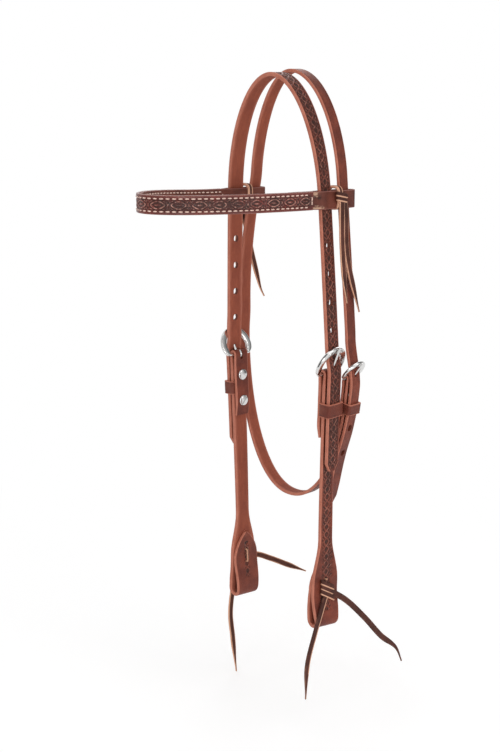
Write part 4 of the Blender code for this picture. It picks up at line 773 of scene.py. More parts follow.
THROAT_BILLET_SHARES = ((0.1477, 1.059, 0.013), (0.406, 0.818, 0.005), (0.6327, 1.411, 0),
                        (0.8049, 2.597, 0), (0.977, 4.925, 0))
THROAT_HOLE_DROP = 0.047
THROAT_HOLES = 2
SMOOTH_STEPS = 3
BAR_CLEARANCE = 0.0003
LEAF_SETTLE = 0.012
TURN_STEPS = 8
TURN_SHARES = (0.35, 0.7)
BACK_LEAF_SHARES = (0.33, 0.67, 1)
LEAF_END_SHARES = (0.5, 1)
SCREW_PITCH = 0.0254
THROAT_FIRST_SCREW = 0.0150
THROAT_HEAD_RADIUS = 0.0045
BARREL_RADIUS = 0.0024
THROAT_BAR_RADIUS = 0.0013
THROAT_TURN_THICK = 0.0021
THROAT_LEAF_GAP = 0.0015
THROAT_BACK_THICK = 0.0026
THROAT_BACK_END_THICK = 0.0020
THROAT_BACK_LENGTH = 0.054
THROAT_BAR_OFFSET = -(THROAT_THICK + THROAT_LEAF_GAP) / 2
THROAT_BACK_OFFSET = -(THROAT_THICK + THROAT_BACK_THICK) / 2 - THROAT_LEAF_GAP
THROAT_FRAME_LENGTH = 0.0192
THROAT_FRAME_RIM = 0.0040
THROAT_FRAME_TILT = math.radians(35)
THROAT_TONGUE_RADIUS = 0.00105
THROAT_KEEPER_HEIGHT = 0.0102
SLOT_REACH = 0.0052
SLOT_TOP = 0.008
PLAIN_PITCH = 0.0012
PLAIN_COLUMNS = 27
CREASE_INSET = 0.0019
CREASE_WIDTH = 0.00035
CREASE_DEPTH = 0.00016
CREASE_DARK = 0.55


def creased(half_width):
    """Plain leather with one hot-creased line along each edge."""
    def tooling(run, across):
        off = half_width - CREASE_INSET - np.abs(across)
        line = np.exp(-(off / CREASE_WIDTH) ** 2) + 0 * run
        return CREASE_DEPTH * line, CREASE_DARK * line, 0 * line
    return tooling


def smooth_line(points, steps):
    """A line through all the points, with this many steps between each two."""
    padded = [points[0] * 2 - points[1], *points, points[-1] * 2 - points[-2]]
    line = []
    for before, start, end, after in zip(padded, padded[1:], padded[2:], padded[3:]):
        for step in range(steps):
            t = step / steps
            line.append(start + (end - before) * (t / 2)
                        + (before * 2 - start * 5 + end * 4 - after) * (t * t / 2)
                        + (start * 3 - before - end * 3 + after) * (t ** 3 / 2))
    line.append(points[-1])
    return line


def buckle_turn(axes_at, bar_radius, bar_offset, back_offset, width, thicks, back_drops):
    """Stations from the outer leaf over the buckle's bar and down the back leaf to its end."""
    leaf_thick, turn_thick, back_thick, end_thick = thicks
    flat_end, leaf_end = back_drops
    radius = bar_radius + BAR_CLEARANCE + turn_thick / 2
    stations = []
    for share in TURN_SHARES:
        offset = between(0, bar_offset + radius, ease(share))
        thick = between(leaf_thick, turn_thick, share)
        stations.append(station_on(axes_at(LEAF_SETTLE * (1 - share)), offset, width, thick))
    for step in range(TURN_STEPS + 1):
        angle = math.pi * step / TURN_STEPS
        offset = bar_offset + radius * math.cos(angle)
        stations.append(station_on(axes_at(0), offset, width, turn_thick, radius * math.sin(angle)))
    for share in (*TURN_SHARES, 1):
        offset = between(bar_offset - radius, back_offset, ease(share))
        thick = between(turn_thick, back_thick, share)
        stations.append(station_on(axes_at(LEAF_SETTLE * share), offset, width, thick))
    for share in BACK_LEAF_SHARES:
        axes = axes_at(between(LEAF_SETTLE, flat_end, share))
        stations.append(station_on(axes, back_offset, width, back_thick))
    end_offset = -(leaf_thick + end_thick) / 2 - 2 * CLEARANCE
    for share in LEAF_END_SHARES:
        offset = between(back_offset, end_offset, ease(share))
        thick = between(back_thick, end_thick, share)
        stations.append(station_on(axes_at(between(flat_end, leaf_end, share)), offset, width, thick))
    return stations


def turn_slot(bar, bar_radius, turn_thick, tongue_radius):
    """The slot in a buckle turn that lets the tongue stand on the bar."""
    reach = bar_radius + BAR_CLEARANCE + turn_thick + CLEARANCE / 2
    middle = Matrix.Translation((0, 0, (SLOT_TOP - SLOT_REACH) / 2))
    slot = oval(SLOT_REACH + SLOT_TOP, 2 * (tongue_radius + TONGUE_ROOM))
    return outward_axes(bar @ middle), slot, -2 * reach, reach


def post_holes(axes_at, first, low, high):
    """The holes that a pair of screw posts needs through a folded strap end."""
    hole = oval(2 * (BARREL_RADIUS + CLEARANCE), 2 * (BARREL_RADIUS + CLEARANCE))
    return [(outward_axes(axes_at(drop)), hole, low, high) for drop in (first, first + SCREW_PITCH)]


def throat_centre(drop):
    rest = max(1 - drop / THROAT_ARCH_HEIGHT, 0)
    bend = math.sqrt(1 - rest * rest)
    reach = THROAT_ARCH_HALF_WIDTH * bend + THROAT_FLARE_SHARE * drop
    return THROAT_APEX + Vector((reach, THROAT_BACK_DRIFT * bend, -drop))


def loop_centre(share, top_back=THROAT_BUCKLE_BACK):
    """Middle of half the throat loop: share 0 at its widest level, 1 at the bottom."""
    drop, reach = math.sin(math.pi / 2 * share), math.cos(math.pi / 2 * share)
    size = (drop ** THROAT_LOOP_POWER + reach ** THROAT_LOOP_POWER) ** (-1 / THROAT_LOOP_POWER)
    back = between(top_back, THROAT_BOTTOM_BACK, drop ** 3)
    return Vector((THROAT_LOOP_HALF_WIDTH * size * reach, back,
                   -THROAT_LOOP_TOP_DROP - THROAT_LOOP_HEIGHT * size * drop))


def throat_across(centre):
    turn = THROAT_TURN * centre.x / THROAT_LOOP_HALF_WIDTH
    return Vector((-math.sin(turn), math.cos(turn), 0))


def throat_axes(drop, offset=0.0):
    """Axes on the near end of the throat loop, this far below its buckle's bar."""
    step = 1 / LEVEL_STEPS
    level = -THROAT_BUCKLE_DROP - drop
    share = 0
    while loop_centre(share).z > level and share < 1:
        share += step
    low, high = loop_centre(share - step), loop_centre(share)
    centre = between(low, high, (level - low.z) / (high.z - low.z))
    down = (loop_centre(share + step) - loop_centre(share - 2 * step)).normalized()
    return side_axes(NEAR, centre, down, THROAT_TURN) @ Matrix.Translation((offset, 0, 0))


def throat_line():
    """Centres from the billet's tip up over the poll, down the far side and round the loop."""
    arch = []
    for step in range(1, ARCH_STEPS + 1):
        arch.append(throat_centre(THROAT_ARCH_HEIGHT * (1 - math.cos(math.pi / 2 * step / ARCH_STEPS))))
    near_run = []
    cross_drop = THROAT_BUCKLE_DROP + THROAT_APEX.z - THROAT_CROSS_START
    for step in range(1, RUN_STEPS):
        share = step / (RUN_STEPS - 1)
        centre = throat_centre(between(THROAT_ARCH_HEIGHT, cross_drop, share))
        centre.y = between(centre.y, THROAT_BUCKLE_BACK, ease(share))
        near_run.append(centre)
    start = near_run[-1]
    finish = throat_axes(THROAT_CROSS_END, THROAT_BILLET_OFFSET).translation
    for step in range(1, RUN_STEPS + 1):
        centre = start.lerp(finish, step / RUN_STEPS)
        centre.x = between(start.x, finish.x, ease(step / RUN_STEPS))
        near_run.append(centre)
    held = THROAT_FIRST_SCREW + SCREW_PITCH / 2 + THROAT_KEEPER_HEIGHT / 2
    billet = []
    for step in range(1, SMOOTH_STEPS + 1):
        drop = between(THROAT_CROSS_END, held, step / SMOOTH_STEPS)
        billet.append(throat_axes(drop, THROAT_BILLET_OFFSET).translation)
    screwed = THROAT_FIRST_SCREW + SCREW_PITCH - THROAT_CROSS_END
    for down, outward, forward in THROAT_BILLET_SHARES:
        level = finish.z - between(screwed, THROAT_BILLET_LENGTH, down)
        loop_x = throat_axes(-THROAT_BUCKLE_DROP - level).translation.x
        billet.append(Vector((loop_x + outward * THROAT_BILLET_OFFSET,
                              finish.y - forward * THROAT_BILLET_LENGTH, level)))
    near_run += billet[:SMOOTH_STEPS] + smooth_line(billet[SMOOTH_STEPS - 1:], SMOOTH_STEPS)[1:]
    far_run = []
    lowest = THROAT_LOOP_TOP_DROP + THROAT_APEX.z
    for step in range(1, RUN_STEPS):
        share = step / RUN_STEPS
        centre = throat_centre(between(THROAT_ARCH_HEIGHT, lowest, share))
        centre.y = between(centre.y, THROAT_FAR_BACK, share) - THROAT_FAR_DIP * math.sin(math.pi * share)
        centre.x += THROAT_FAR_OUT * ease(share)
        far_run.append(centre)
    loop, far_loop = [], []
    for step in range(THROAT_LOOP_STEPS + 1):
        share = step / THROAT_LOOP_STEPS
        loop.append(loop_centre(share))
        aside = Vector((THROAT_FAR_OUT * ease(1 - share), 0, 0))
        far_loop.append(loop_centre(share, THROAT_FAR_BACK) + aside)
    settle = -THROAT_BUCKLE_DROP - 1.5 * LEAF_SETTLE
    rise = [centre for centre in loop[:-1][::-1] if centre.z < settle]
    flip = Vector((-1, 1, 1))
    far = [centre * flip for centre in arch + far_run + far_loop]
    return near_run[::-1], arch[::-1], far, rise


def throat_stations():
    width, thick = THROAT_WIDTH, THROAT_THICK
    near_run, arch, far, rise = throat_line()
    tip = near_run[0] + (near_run[0] - near_run[1]).normalized() * BILLET_POINT
    stations = [(tip, throat_across(tip), width * BILLET_TIP_SHARE, thick)]
    stations += [(centre, throat_across(centre), width, thick) for centre in near_run + arch]
    stations.append((THROAT_APEX, Vector((0, 1, 0)), width, thick))
    stations += [(centre, throat_across(centre), width, thick) for centre in far + rise]
    stations.append(station_on(throat_axes(LEAF_SETTLE), 0, width, thick))
    return stations + buckle_turn(
        throat_axes, THROAT_BAR_RADIUS, THROAT_BAR_OFFSET, THROAT_BACK_OFFSET, width,
        (thick, THROAT_TURN_THICK, THROAT_BACK_THICK, THROAT_BACK_END_THICK),
        (THROAT_FIRST_SCREW + SCREW_PITCH + THROAT_HEAD_RADIUS, THROAT_BACK_LENGTH))


def make_throat_strap():
    stations = throat_stations()
    strap = lay_strap("throat_latch_strap_creased", stations, creased(THROAT_WIDTH / 2), PLAIN_PITCH,
                      PLAIN_COLUMNS)
    bar = throat_axes(0, THROAT_BAR_OFFSET)
    cuts = [turn_slot(bar, THROAT_BAR_RADIUS, THROAT_TURN_THICK, THROAT_TONGUE_RADIUS)]
    cuts += post_holes(throat_axes, THROAT_FIRST_SCREW, -3 * THROAT_THICK, THROAT_BILLET_OFFSET / 2)
    for number in range(THROAT_HOLES):
        level = -THROAT_BUCKLE_DROP - THROAT_HOLE_DROP - HOLE_PITCH * number
        for (below, _, _, _), (above, _, _, _) in zip(stations, stations[1:]):
            if below.z <= level <= above.z:
                centre = above.lerp(below, (above.z - level) / (above.z - below.z))
                axes = outward_axes(side_axes(NEAR, centre, (below - above).normalized(), THROAT_TURN))
                cuts.append((axes, oval(HOLE_LENGTH, HOLE_WIDTH), -THROAT_THICK, THROAT_THICK))
                break
    punch(strap, cuts)
    punch(strap, [tongue_room(bar, THROAT_FRAME_TILT, THROAT_BAR_RADIUS, THROAT_TONGUE_RADIUS,
                              THROAT_FRAME_LENGTH - THROAT_FRAME_RIM)])
    strap.data.materials.append(leather("throat_leather", RUSSET, RUSSET_DEEP, *UNDYED))
    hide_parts("throat_latch_strap")
    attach(strap, "straps")


make_throat_strap()

# Cheek straps
# One strap a side. Its top is folded over the cheek buckle's bar and screwed down behind; its
# foot widens and is folded up inside to hold the bit, and a leather tie laces the fold shut.
# The grain side is tooled from the keeper to the tie.
BIT_END_WIDTH = 0.0318
BIT_FOLD_WIDTH = 0.0255
BIT_FLARE_LENGTH = 0.042
BIT_FLARE_STEPS = 7
BIT_FOLD_RADIUS = 0.0050
BIT_FOLD_STEPS = 9
BIT_ROUNDING = 0.022
BIT_FLAP_THICK = 0.0032
BIT_FLAP_POINT = 0.028
BIT_FLAP_TIP_WIDTH = 0.003
BIT_FLAP_STEPS = 12
BIT_FLAP_CLOSED_SHARE = 0.42
BIT_HOLE_RADIUS = 0.0017
BIT_HOLE_PITCH = 0.012
BIT_HOLE_RISE = 0.0467
TURN_THICK = 0.0024
BACK_LEAF_THICK = 0.0030
BACK_LEAF_END_THICK = 0.0022
BACK_LEAF_OFFSET = -(STRAP_THICK + BACK_LEAF_THICK) / 2 - LEAF_GAP
FIRST_SCREW = 0.0202
HEAD_RADIUS = 0.0051
# Where the twist runs, on the flap from its tip and on the outer leaf from the bar
CHEEK_BORDER_HALF = 0.0052
CHEEK_GROUND = 0.38
FLAP_TOOLED = (0.009, 0.047)
FLAP_TOOLED_HALF = 0.0034
CHEEK_TOOLED = (0.016, 0.237)
# The short slanted strokes that are stamped beside the twist, this far above the fold
SLASH_ZONE = (0.041, 0.081)
SLASH_PITCH = 0.0056
SLASH_PLACE = 0.0062
SLASH_SIZE = (0.0031, 0.0009)
SLASH_LEAN = math.radians(40)
SLASH_FRINGE = 0.0009
SLASH_GROUND = 0.1


def flap_offset(share):
    """Offset of the bit end's flap, from its tip (0) to the fold (1)."""
    closed = (STRAP_THICK + BIT_FLAP_THICK) / 2 + CLEARANCE
    opened = (share - BIT_FLAP_CLOSED_SHARE) / (1 - BIT_FLAP_CLOSED_SHARE)
    return -between(closed, 2 * BIT_FOLD_RADIUS, ease(opened))


def flap_width(rise):
    """Width of the pointed flap, this far below its tip."""
    if rise >= BIT_FLAP_POINT:
        return BIT_END_WIDTH
    half = BIT_END_WIDTH / 2
    radius = (BIT_FLAP_POINT ** 2 + half ** 2) / (2 * half)
    width = 2 * (math.sqrt(radius ** 2 - (BIT_FLAP_POINT - rise) ** 2) - radius + half)
    return max(width, BIT_FLAP_TIP_WIDTH)


def bit_end_width(drop):
    """Width of the cheek strap's outer leaf, this far below the bar."""
    flare_start = CHEEK_LENGTH - BIT_END_LENGTH
    width = between(STRAP_WIDTH, BIT_END_WIDTH, ease((drop - flare_start) / BIT_FLARE_LENGTH))
    rounding = max(drop - (CHEEK_LENGTH - BIT_ROUNDING), 0) / BIT_ROUNDING
    return width - (BIT_END_WIDTH - BIT_FOLD_WIDTH) * rounding ** 2


def cheek_stations(side):
    """Stations from the flap's tip round the bit fold, up the outer leaf, over the buckle's bar
    and down the back leaf, and how many of them come before the outer leaf."""
    stations = []
    fold_drop = CHEEK_LENGTH - STRAP_THICK / 2 - BIT_FOLD_RADIUS
    tip_drop = CHEEK_LENGTH - BIT_FLAP_LENGTH
    for step in range(BIT_FLAP_STEPS):
        share = step / BIT_FLAP_STEPS
        drop = between(tip_drop, fold_drop, share)
        width = min(flap_width(drop - tip_drop), bit_end_width(drop + BIT_FLARE_LENGTH * (1 - share)))
        stations.append(station_on(cheek_axes(drop, side), flap_offset(share), width, BIT_FLAP_THICK))
    fold = cheek_axes(fold_drop, side)
    for step in range(BIT_FOLD_STEPS + 1):
        angle = math.pi * (1 + step / BIT_FOLD_STEPS)
        offset = BIT_FOLD_RADIUS * (math.cos(angle) - 1)
        rise = BIT_FOLD_RADIUS * math.sin(angle)
        thick = between(BIT_FLAP_THICK, STRAP_THICK, step / BIT_FOLD_STEPS)
        stations.append(station_on(fold, offset, bit_end_width(fold_drop - rise), thick, rise))
    folded = len(stations)
    flare_top = CHEEK_LENGTH - BIT_END_LENGTH
    flare_foot = flare_top + BIT_FLARE_LENGTH
    for start, end, steps in ((fold_drop, flare_foot, BIT_FLARE_STEPS),
                              (flare_foot, flare_top, BIT_FLARE_STEPS),
                              (flare_top, LEAF_SETTLE, RUN_STEPS)):
        for step in range(1, steps + 1):
            drop = between(start, end, step / steps)
            stations.append(station_on(cheek_axes(drop, side), 0, bit_end_width(drop), STRAP_THICK))
    stations += buckle_turn(lambda drop: cheek_axes(drop, side), BAR_RADIUS, BAR_OFFSET, BACK_LEAF_OFFSET,
                            STRAP_WIDTH, (STRAP_THICK, TURN_THICK, BACK_LEAF_THICK, BACK_LEAF_END_THICK),
                            (FIRST_SCREW + SCREW_PITCH + HEAD_RADIUS, BACK_LEAF_LENGTH))
    return stations, folded


def bit_hole_drops():
    low = CHEEK_LENGTH - BIT_HOLE_RISE + BIT_HOLE_PITCH
    return low - BIT_HOLE_PITCH, low


def stretch(place, low, high):
    """1 between two places and 0 outside them, with the tool's own soft ends."""
    return np.clip(np.minimum(place - low, high - place) / STRAND_RADIUS, 0, 1)


def make_cheek_strap(side):
    stations, folded = cheek_stations(side)
    centres = np.array([station[0] for station in stations])
    fold_run = np.linalg.norm(np.diff(centres[:folded], axis=0), axis=1).sum()
    foot = fold_run + CHEEK_LENGTH

    def tooling(run, across):
        flap = stretch(run, *FLAP_TOOLED) * stretch(across, -FLAP_TOOLED_HALF, FLAP_TOOLED_HALF)
        held = np.maximum(stretch(run, foot - CHEEK_TOOLED[1], foot - CHEEK_TOOLED[0]), flap)
        border = strand_tooling(run, across, CHEEK_BORDER_HALF, CHEEK_GROUND)
        slash = from_nearest(run - fold_run, SLASH_PITCH) + 0 * across
        raised, apart = slanted(slash, across - SLASH_PLACE, SLASH_LEAN, *SLASH_SIZE)
        slashed = struck(run, across, raised, apart, SLASH_FRINGE - apart, SLASH_GROUND)
        zone = stretch(run, fold_run + SLASH_ZONE[0], fold_run + SLASH_ZONE[1])
        return [np.maximum(twist * held, mark * zone) for twist, mark in zip(border, slashed)]

    strap = lay_strap("cheek_strap_tooled_" + SIDE_NAMES[side], stations, tooling)
    cuts = [turn_slot(cheek_axes(0, side, BAR_OFFSET), BAR_RADIUS, TURN_THICK, TONGUE_RADIUS)]
    cuts += post_holes(lambda drop: cheek_axes(drop, side), FIRST_SCREW, -3 * STRAP_THICK, STRAP_THICK)
    bit_hole = oval(2 * BIT_HOLE_RADIUS, 2 * BIT_HOLE_RADIUS)
    for drop in bit_hole_drops():
        cuts.append((outward_axes(cheek_axes(drop, side)), bit_hole, -3 * BIT_FOLD_RADIUS, STRAP_THICK))
    punch(strap, cuts)
    strap.data.materials.append(cheek_leather)
    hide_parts("cheek_strap_" + SIDE_NAMES[side])
    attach(strap, "straps")


cheek_leather = leather("cheek_leather", RUSSET, RUSSET_DEEP, *UNDYED)
for hand in (NEAR, FAR):
    make_cheek_strap(hand)

# Browband
# Two layers sewn together: a tooled face with a row of stitches along each edge, over a lining
# that runs on past the face at both ends, round the crown and throat straps, and is tucked
# back under the face to make the loops.
BROW_RISE_SHARE = 0.0155
BROW_FAR_SAG = 0.0042
BROW_SAG_START = 0.147
BROW_HEIGHT = 0.0159
BROW_HALF_WIDTH = 0.0596
BROW_DEPTH = 0.157
BROW_FACE_THICK = 0.0026
BROW_LINING_THICK = 0.0022
BROW_TUCK_THICK = 0.0018
BROW_FACE_END = 0.0195
BROW_TUCK_LENGTH = 0.014
BROW_TUCK_SHARES = (0, 0.5, 1)
BROW_FACE_STEPS = 44
BROW_FRONT_STEPS = 40
BROW_LOOP_ROOM = 0.0011
BROW_LOOP_BACK_ROOM = 0.0030
BROW_LOOP_STEPS = 3
BROW_LOOP_SETTLE = 0.005
EYE_PITCH = 0.0172
EYE_HALF = 0.0062
EYE_RISE = 0.0030
EYE_LINE = 0.00075
SEED_SIZE = (0.0034, 0.0011)
STROKE_LEAN = math.radians(52)
STROKE_LENGTH = 0.0030
SHELL_RISE = 0.0022
SHELL_RADIUS = 0.0015
SHELL_LINE_SHARE = 0.6
STROKE_WIDTH_SHARE = 0.8
EYE_END_FALL = 4
LEAF_PLACE = (0.0054, 0.0031)
LEAF_SIZE = (0.0018, 0.0007)
LEAF_LEAN = math.radians(24)
MARK_HEIGHT_SHARE = 0.92
BROW_BORDER = 0.0044
BROW_GROUND = 0.40
STITCH_PITCH = 0.0052
STITCH_LENGTH = 0.0041
STITCH_INSET = 0.0027
STITCH_RADIUS = 0.00054
STITCH_SINK = 0.00008
STITCH_SINK_ENDS = 1.2
STITCH_FLATNESS = (1.15, 0.85)
STITCH_END_SWELL = 0.12
STITCH_RINGS = 7
STITCH_SIDES = 8
STITCH_GROOVE = 0.0011
STITCH_GROOVE_DEPTH = 0.00028
STITCH_GROOVE_DARK = 0.35
STITCH_HOLE = 0.0006
SEWN_LOOP = 0.0262
END_STITCH_INSET = 0.0012
END_STITCH_RISE = 0.0018
BROW_ROUND = 0.0007
BROW_COLUMNS = 41
LINING_COLUMNS = 31
# The worn corners where the loop bends round the straps, and a nick in the leather beside them
WEAR_LENGTH = 0.0075
WEAR_SLANT = 0.002
WEAR_START = 0.001
WEAR_FADE = 0.005
WEAR_MIDDLE = 0.0026
WEAR_SHIFT = 0.0006
WEAR_REACH = 0.0030
WEAR_BARE = 2
WORN_LINING = (0.50, 0.30, 0.205)
NOTCH_PLACE = (0.0085, 0.0022)
NOTCH_RADIUS = 0.0011
NOTCH_DEPTH = 0.0006
THREAD_CREAM = (0.92, 0.69, 0.59)
THREAD_SHADE = (0.62, 0.38, 0.30)
BROW_TOOLED = (0.175, 0.036, 0.027)
BROW_DEEP = (0.110, 0.023, 0.018)
# Pale pink of the browband's raised tooling: a painted highlight for its glints, with some rubbed leather
BROW_RUBBED_HIGHLIGHT = (0.56, 0.28, 0.22)
BROW_EDGE = (0.30, 0.115, 0.090)
BROW_EDGE_DEEP = (0.155, 0.050, 0.038)
LINING_PLAIN = (0.165, 0.042, 0.025)
LINING_DEEP = (0.100, 0.025, 0.016)


def brow_place(x, y):
    """A point of the browband's middle height, which rises to the front and sags a little."""
    drop = BROW_DROP + BROW_RISE_SHARE * y
    if x < 0:
        drop += BROW_FAR_SAG * ease((y + BROW_SAG_START) / (BROW_SAG_START - BROW_FACE_END))
    return Vector((x, y, -drop))


def brow_point(angle, inset):
    normal = Vector((math.cos(angle) / BROW_HALF_WIDTH, -math.sin(angle) / BROW_DEPTH, 0)).normalized()
    return brow_place(BROW_HALF_WIDTH * math.cos(angle) - normal.x * inset,
                      -BROW_DEPTH * math.sin(angle) - normal.y * inset)


def brow_loop_sizes():
    """Where the loop's walls run past the two straps: (outer x, inner x, front y, back y)."""
    crown = crown_centre(BROW_DROP + CROWN_APEX.z)
    throat = throat_centre(BROW_DROP + THROAT_APEX.z)
    wall = STRAP_THICK / 2 + STRAP_WIDTH / 2 * math.sin(CROWN_TURN) + BROW_LOOP_ROOM
    wall += BROW_LINING_THICK / 2
    back = throat.y + THROAT_WIDTH / 2 + BROW_LOOP_BACK_ROOM + BROW_LINING_THICK / 2
    return crown.x + wall, crown.x - wall, crown.y - STRAP_WIDTH / 2, back


def lining_line():
    """Middle line of the near half of the lining, from the tucked end of the loop, back round
    the straps and forward along the inside of the face, and how many points are tucked."""
    outer_x, inner_x, front, back = brow_loop_sizes()
    face_end = math.asin(BROW_FACE_END / BROW_DEPTH)
    tuck_end = math.asin((BROW_FACE_END + BROW_TUCK_LENGTH) / BROW_DEPTH)
    tuck_inset = BROW_FACE_THICK / 2 + CLEARANCE + BROW_TUCK_THICK / 2
    under = tuck_inset + BROW_TUCK_THICK / 2 + CLEARANCE + BROW_LINING_THICK / 2
    tuck = [brow_point(between(tuck_end, face_end, share), tuck_inset) for share in BROW_TUCK_SHARES]
    radius = (outer_x - inner_x) / 2
    turn = []
    for step in range(BROW_LOOP_STEPS * 2 + 1):
        angle = math.pi * (step / (BROW_LOOP_STEPS * 2) - 0.5)
        turn.append(brow_place(inner_x + radius * (1 - math.sin(angle)),
                               back - radius * (1 - math.cos(angle))))
    settled = front + BROW_LOOP_SETTLE
    outward = [brow_place(outer_x, front), brow_place(outer_x, settled)]
    inward = [brow_place(inner_x, settled), brow_place(inner_x + BROW_LOOP_ROOM / 2, front)]
    under_line = [brow_point(face_end, under), brow_point(tuck_end, under)]
    line = smooth_line(tuck + outward, SMOOTH_STEPS) + turn + smooth_line(inward + under_line, SMOOTH_STEPS)
    return line, (len(tuck) - 1) * SMOOTH_STEPS


def face_stations():
    face_end = math.asin(BROW_FACE_END / BROW_DEPTH)
    stations = []
    for step in range(BROW_FACE_STEPS + 1):
        angle = between(face_end, math.pi - face_end, step / BROW_FACE_STEPS)
        stations.append((brow_point(angle, 0), Vector((0, 0, 1)), BROW_HEIGHT, BROW_FACE_THICK))
    return stations


def lining_stations():
    line, tucked = lining_line()
    up = Vector((0, 0, 1))
    near = []
    for i, centre in enumerate(line):
        thick = between(BROW_TUCK_THICK, BROW_LINING_THICK, ease((i - tucked) / SMOOTH_STEPS + 1))
        near.append((centre, up, BROW_HEIGHT, thick))
    inset = (BROW_FACE_THICK + BROW_LINING_THICK) / 2 + CLEARANCE
    settle = math.asin((BROW_FACE_END + 2 * BROW_TUCK_LENGTH) / BROW_DEPTH)
    front = []
    for step in range(BROW_FRONT_STEPS + 1):
        angle = between(settle, math.pi - settle, step / BROW_FRONT_STEPS)
        front.append((brow_point(angle, inset), up, BROW_HEIGHT, BROW_LINING_THICK))
    far = [(brow_place(-centre.x, centre.y), across, width, thick) for centre, across, width, thick in near]
    return near + front + far[::-1]


def stitch_groove(run, across):
    """The groove that the stitches lie in, along both edges."""
    off = (BROW_HEIGHT / 2 - STITCH_INSET - np.abs(across)) / (STITCH_GROOVE / 2)
    line = np.clip(1 - off ** 2, 0, 1) + 0 * run
    from_hole = np.abs((run + STITCH_PITCH / 2) % STITCH_PITCH - STITCH_PITCH / 2)
    hole = np.clip(1 - from_hole / STITCH_HOLE, 0, 1)
    return STITCH_GROOVE_DEPTH * line * (1 + hole), line * between(STITCH_GROOVE_DARK, 1, hole), 0 * line


def brow_tooling(run, across):
    """Eyes of two arcs round a seed, with crossed strokes between them and a shell stamped
    above and below each cross."""
    eye = from_nearest(run, EYE_PITCH) + 0 * across
    cross = from_nearest(run, EYE_PITCH, 0.5) + 0 * across
    bow = EYE_RISE * (1 - (eye / EYE_HALF) ** 2)
    level = 1 / np.sqrt(1 + (2 * EYE_RISE * eye / EYE_HALF ** 2) ** 2)
    off = np.abs(np.abs(across) - bow) * level + EYE_END_FALL * np.maximum(np.abs(eye) - EYE_HALF, 0)
    raised, apart = rounded(off, EYE_LINE), np.maximum(off - EYE_LINE, 0)
    marks = [slanted(eye, across, 0, *SEED_SIZE)]
    shell_line, stroke_line = EYE_LINE * SHELL_LINE_SHARE, EYE_LINE * STROKE_WIDTH_SHARE
    for hand in (1, -1):
        marks.append(slanted(cross, across, hand * STROKE_LEAN, STROKE_LENGTH, stroke_line))
        ring = np.abs(np.hypot(cross, across - hand * SHELL_RISE) - SHELL_RADIUS)
        ring = ring + EYE_END_FALL * np.maximum(SHELL_RISE - hand * across, 0)
        marks.append((rounded(ring, shell_line), np.maximum(ring - shell_line, 0)))
        for end in (1, -1):
            marks.append(slanted(eye - end * LEAF_PLACE[0], across - hand * LEAF_PLACE[1],
                                 -end * hand * LEAF_LEAN, *LEAF_SIZE))
    for height, away in marks:
        raised, apart = np.maximum(raised, height * MARK_HEIGHT_SHARE), np.minimum(apart, away)
    depth, dark, light = struck(run, across, raised, apart, BROW_BORDER - np.abs(across), BROW_GROUND)
    groove, groove_dark, _ = stitch_groove(run, across)
    return np.maximum(depth, groove), np.maximum(dark, groove_dark), light


def thread(name):
    """Waxed, twisted linen thread."""
    material, tree = new_material(name)
    strip = add_node(tree, "UVMap", uv_map="run").outputs[0]
    turned = add_node(tree, "Mapping", {0: strip, 2: (0, 0, math.radians(35))})
    twist = add_node(tree, "TexWave", {"Vector": turned.outputs[0], "Scale": 700, "Distortion": 1.5})
    place = add_node(tree, "TexCoord").outputs["Object"]
    soil = add_node(tree, "TexNoise", {"Vector": place, "Scale": 130, "Detail": 3})
    tone = work_out(tree, "MULTIPLY", twist.outputs["Fac"], soil.outputs["Fac"])
    share = add_node(tree, "MapRange", {0: tone, 1: 0.05, 2: 0.4}).outputs[0]
    colour = add_node(tree, "MixRGB", {0: share, 1: (*THREAD_SHADE, 1), 2: (*THREAD_CREAM, 1)}).outputs[0]
    bump = add_node(tree, "Bump", {"Height": twist.outputs["Fac"], "Distance": 0.0001}).outputs[0]
    shader = add_node(tree, "BsdfPrincipled", {"Base Color": colour, "Roughness": 0.6, "Normal": bump})
    add_node(tree, "OutputMaterial", {0: shader.outputs[0]})
    return material


def sew(name, centres, along, across, out):
    """One stitch of thread at each centre, its ends sunk into the leather."""
    spans = np.linspace(-1, 1, STITCH_RINGS)
    turns = np.radians(np.arange(0, 360, 360 / STITCH_SIDES))
    wide, high = STITCH_FLATNESS
    points, faces, uvs = [], [], []
    for centre, ahead, side, rise in zip(centres, along, across, out):
        rings = []
        for span in spans:
            swell = STITCH_RADIUS * math.sqrt(max(1 - abs(span) ** 4, STITCH_END_SWELL))
            sunk = STITCH_RADIUS * STITCH_SINK_ENDS * abs(span) ** 3
            middle = centre + ahead * (span * STITCH_LENGTH / 2) - rise * sunk
            rings.append(range(len(points), len(points) + STITCH_SIDES))
            for turn in turns:
                aside = side * math.cos(turn) * wide + rise * math.sin(turn) * high
                points.append(tuple(middle + aside * swell))
                uvs.append((span * STITCH_LENGTH / 2, turn * STITCH_RADIUS))
        for first, second in zip(rings, rings[1:]):
            for i in range(STITCH_SIDES):
                j = (i + 1) % STITCH_SIDES
                faces.append((first[i], first[j], second[j], second[i]))
        faces += [tuple(rings[0])[::-1], tuple(rings[-1])]
    mesh = bpy.data.meshes.new(name)
    mesh.from_pydata(points, [], faces)
    face_outward(mesh)
    layer = mesh.uv_layers.new(name="run")
    for corner in mesh.loops:
        layer.data[corner.index].uv = uvs[corner.vertex_index]
    mesh.shade_smooth()
    return stand_in_scene(name, mesh)


def along_band(stations):
    """The band's fine middle line, its direction, its thickness and the run along it."""
    fine, _, _, thicks, run = draw_out(stations, FINE_PITCH)
    return fine, np.gradient(fine, run, axis=0), thicks, run


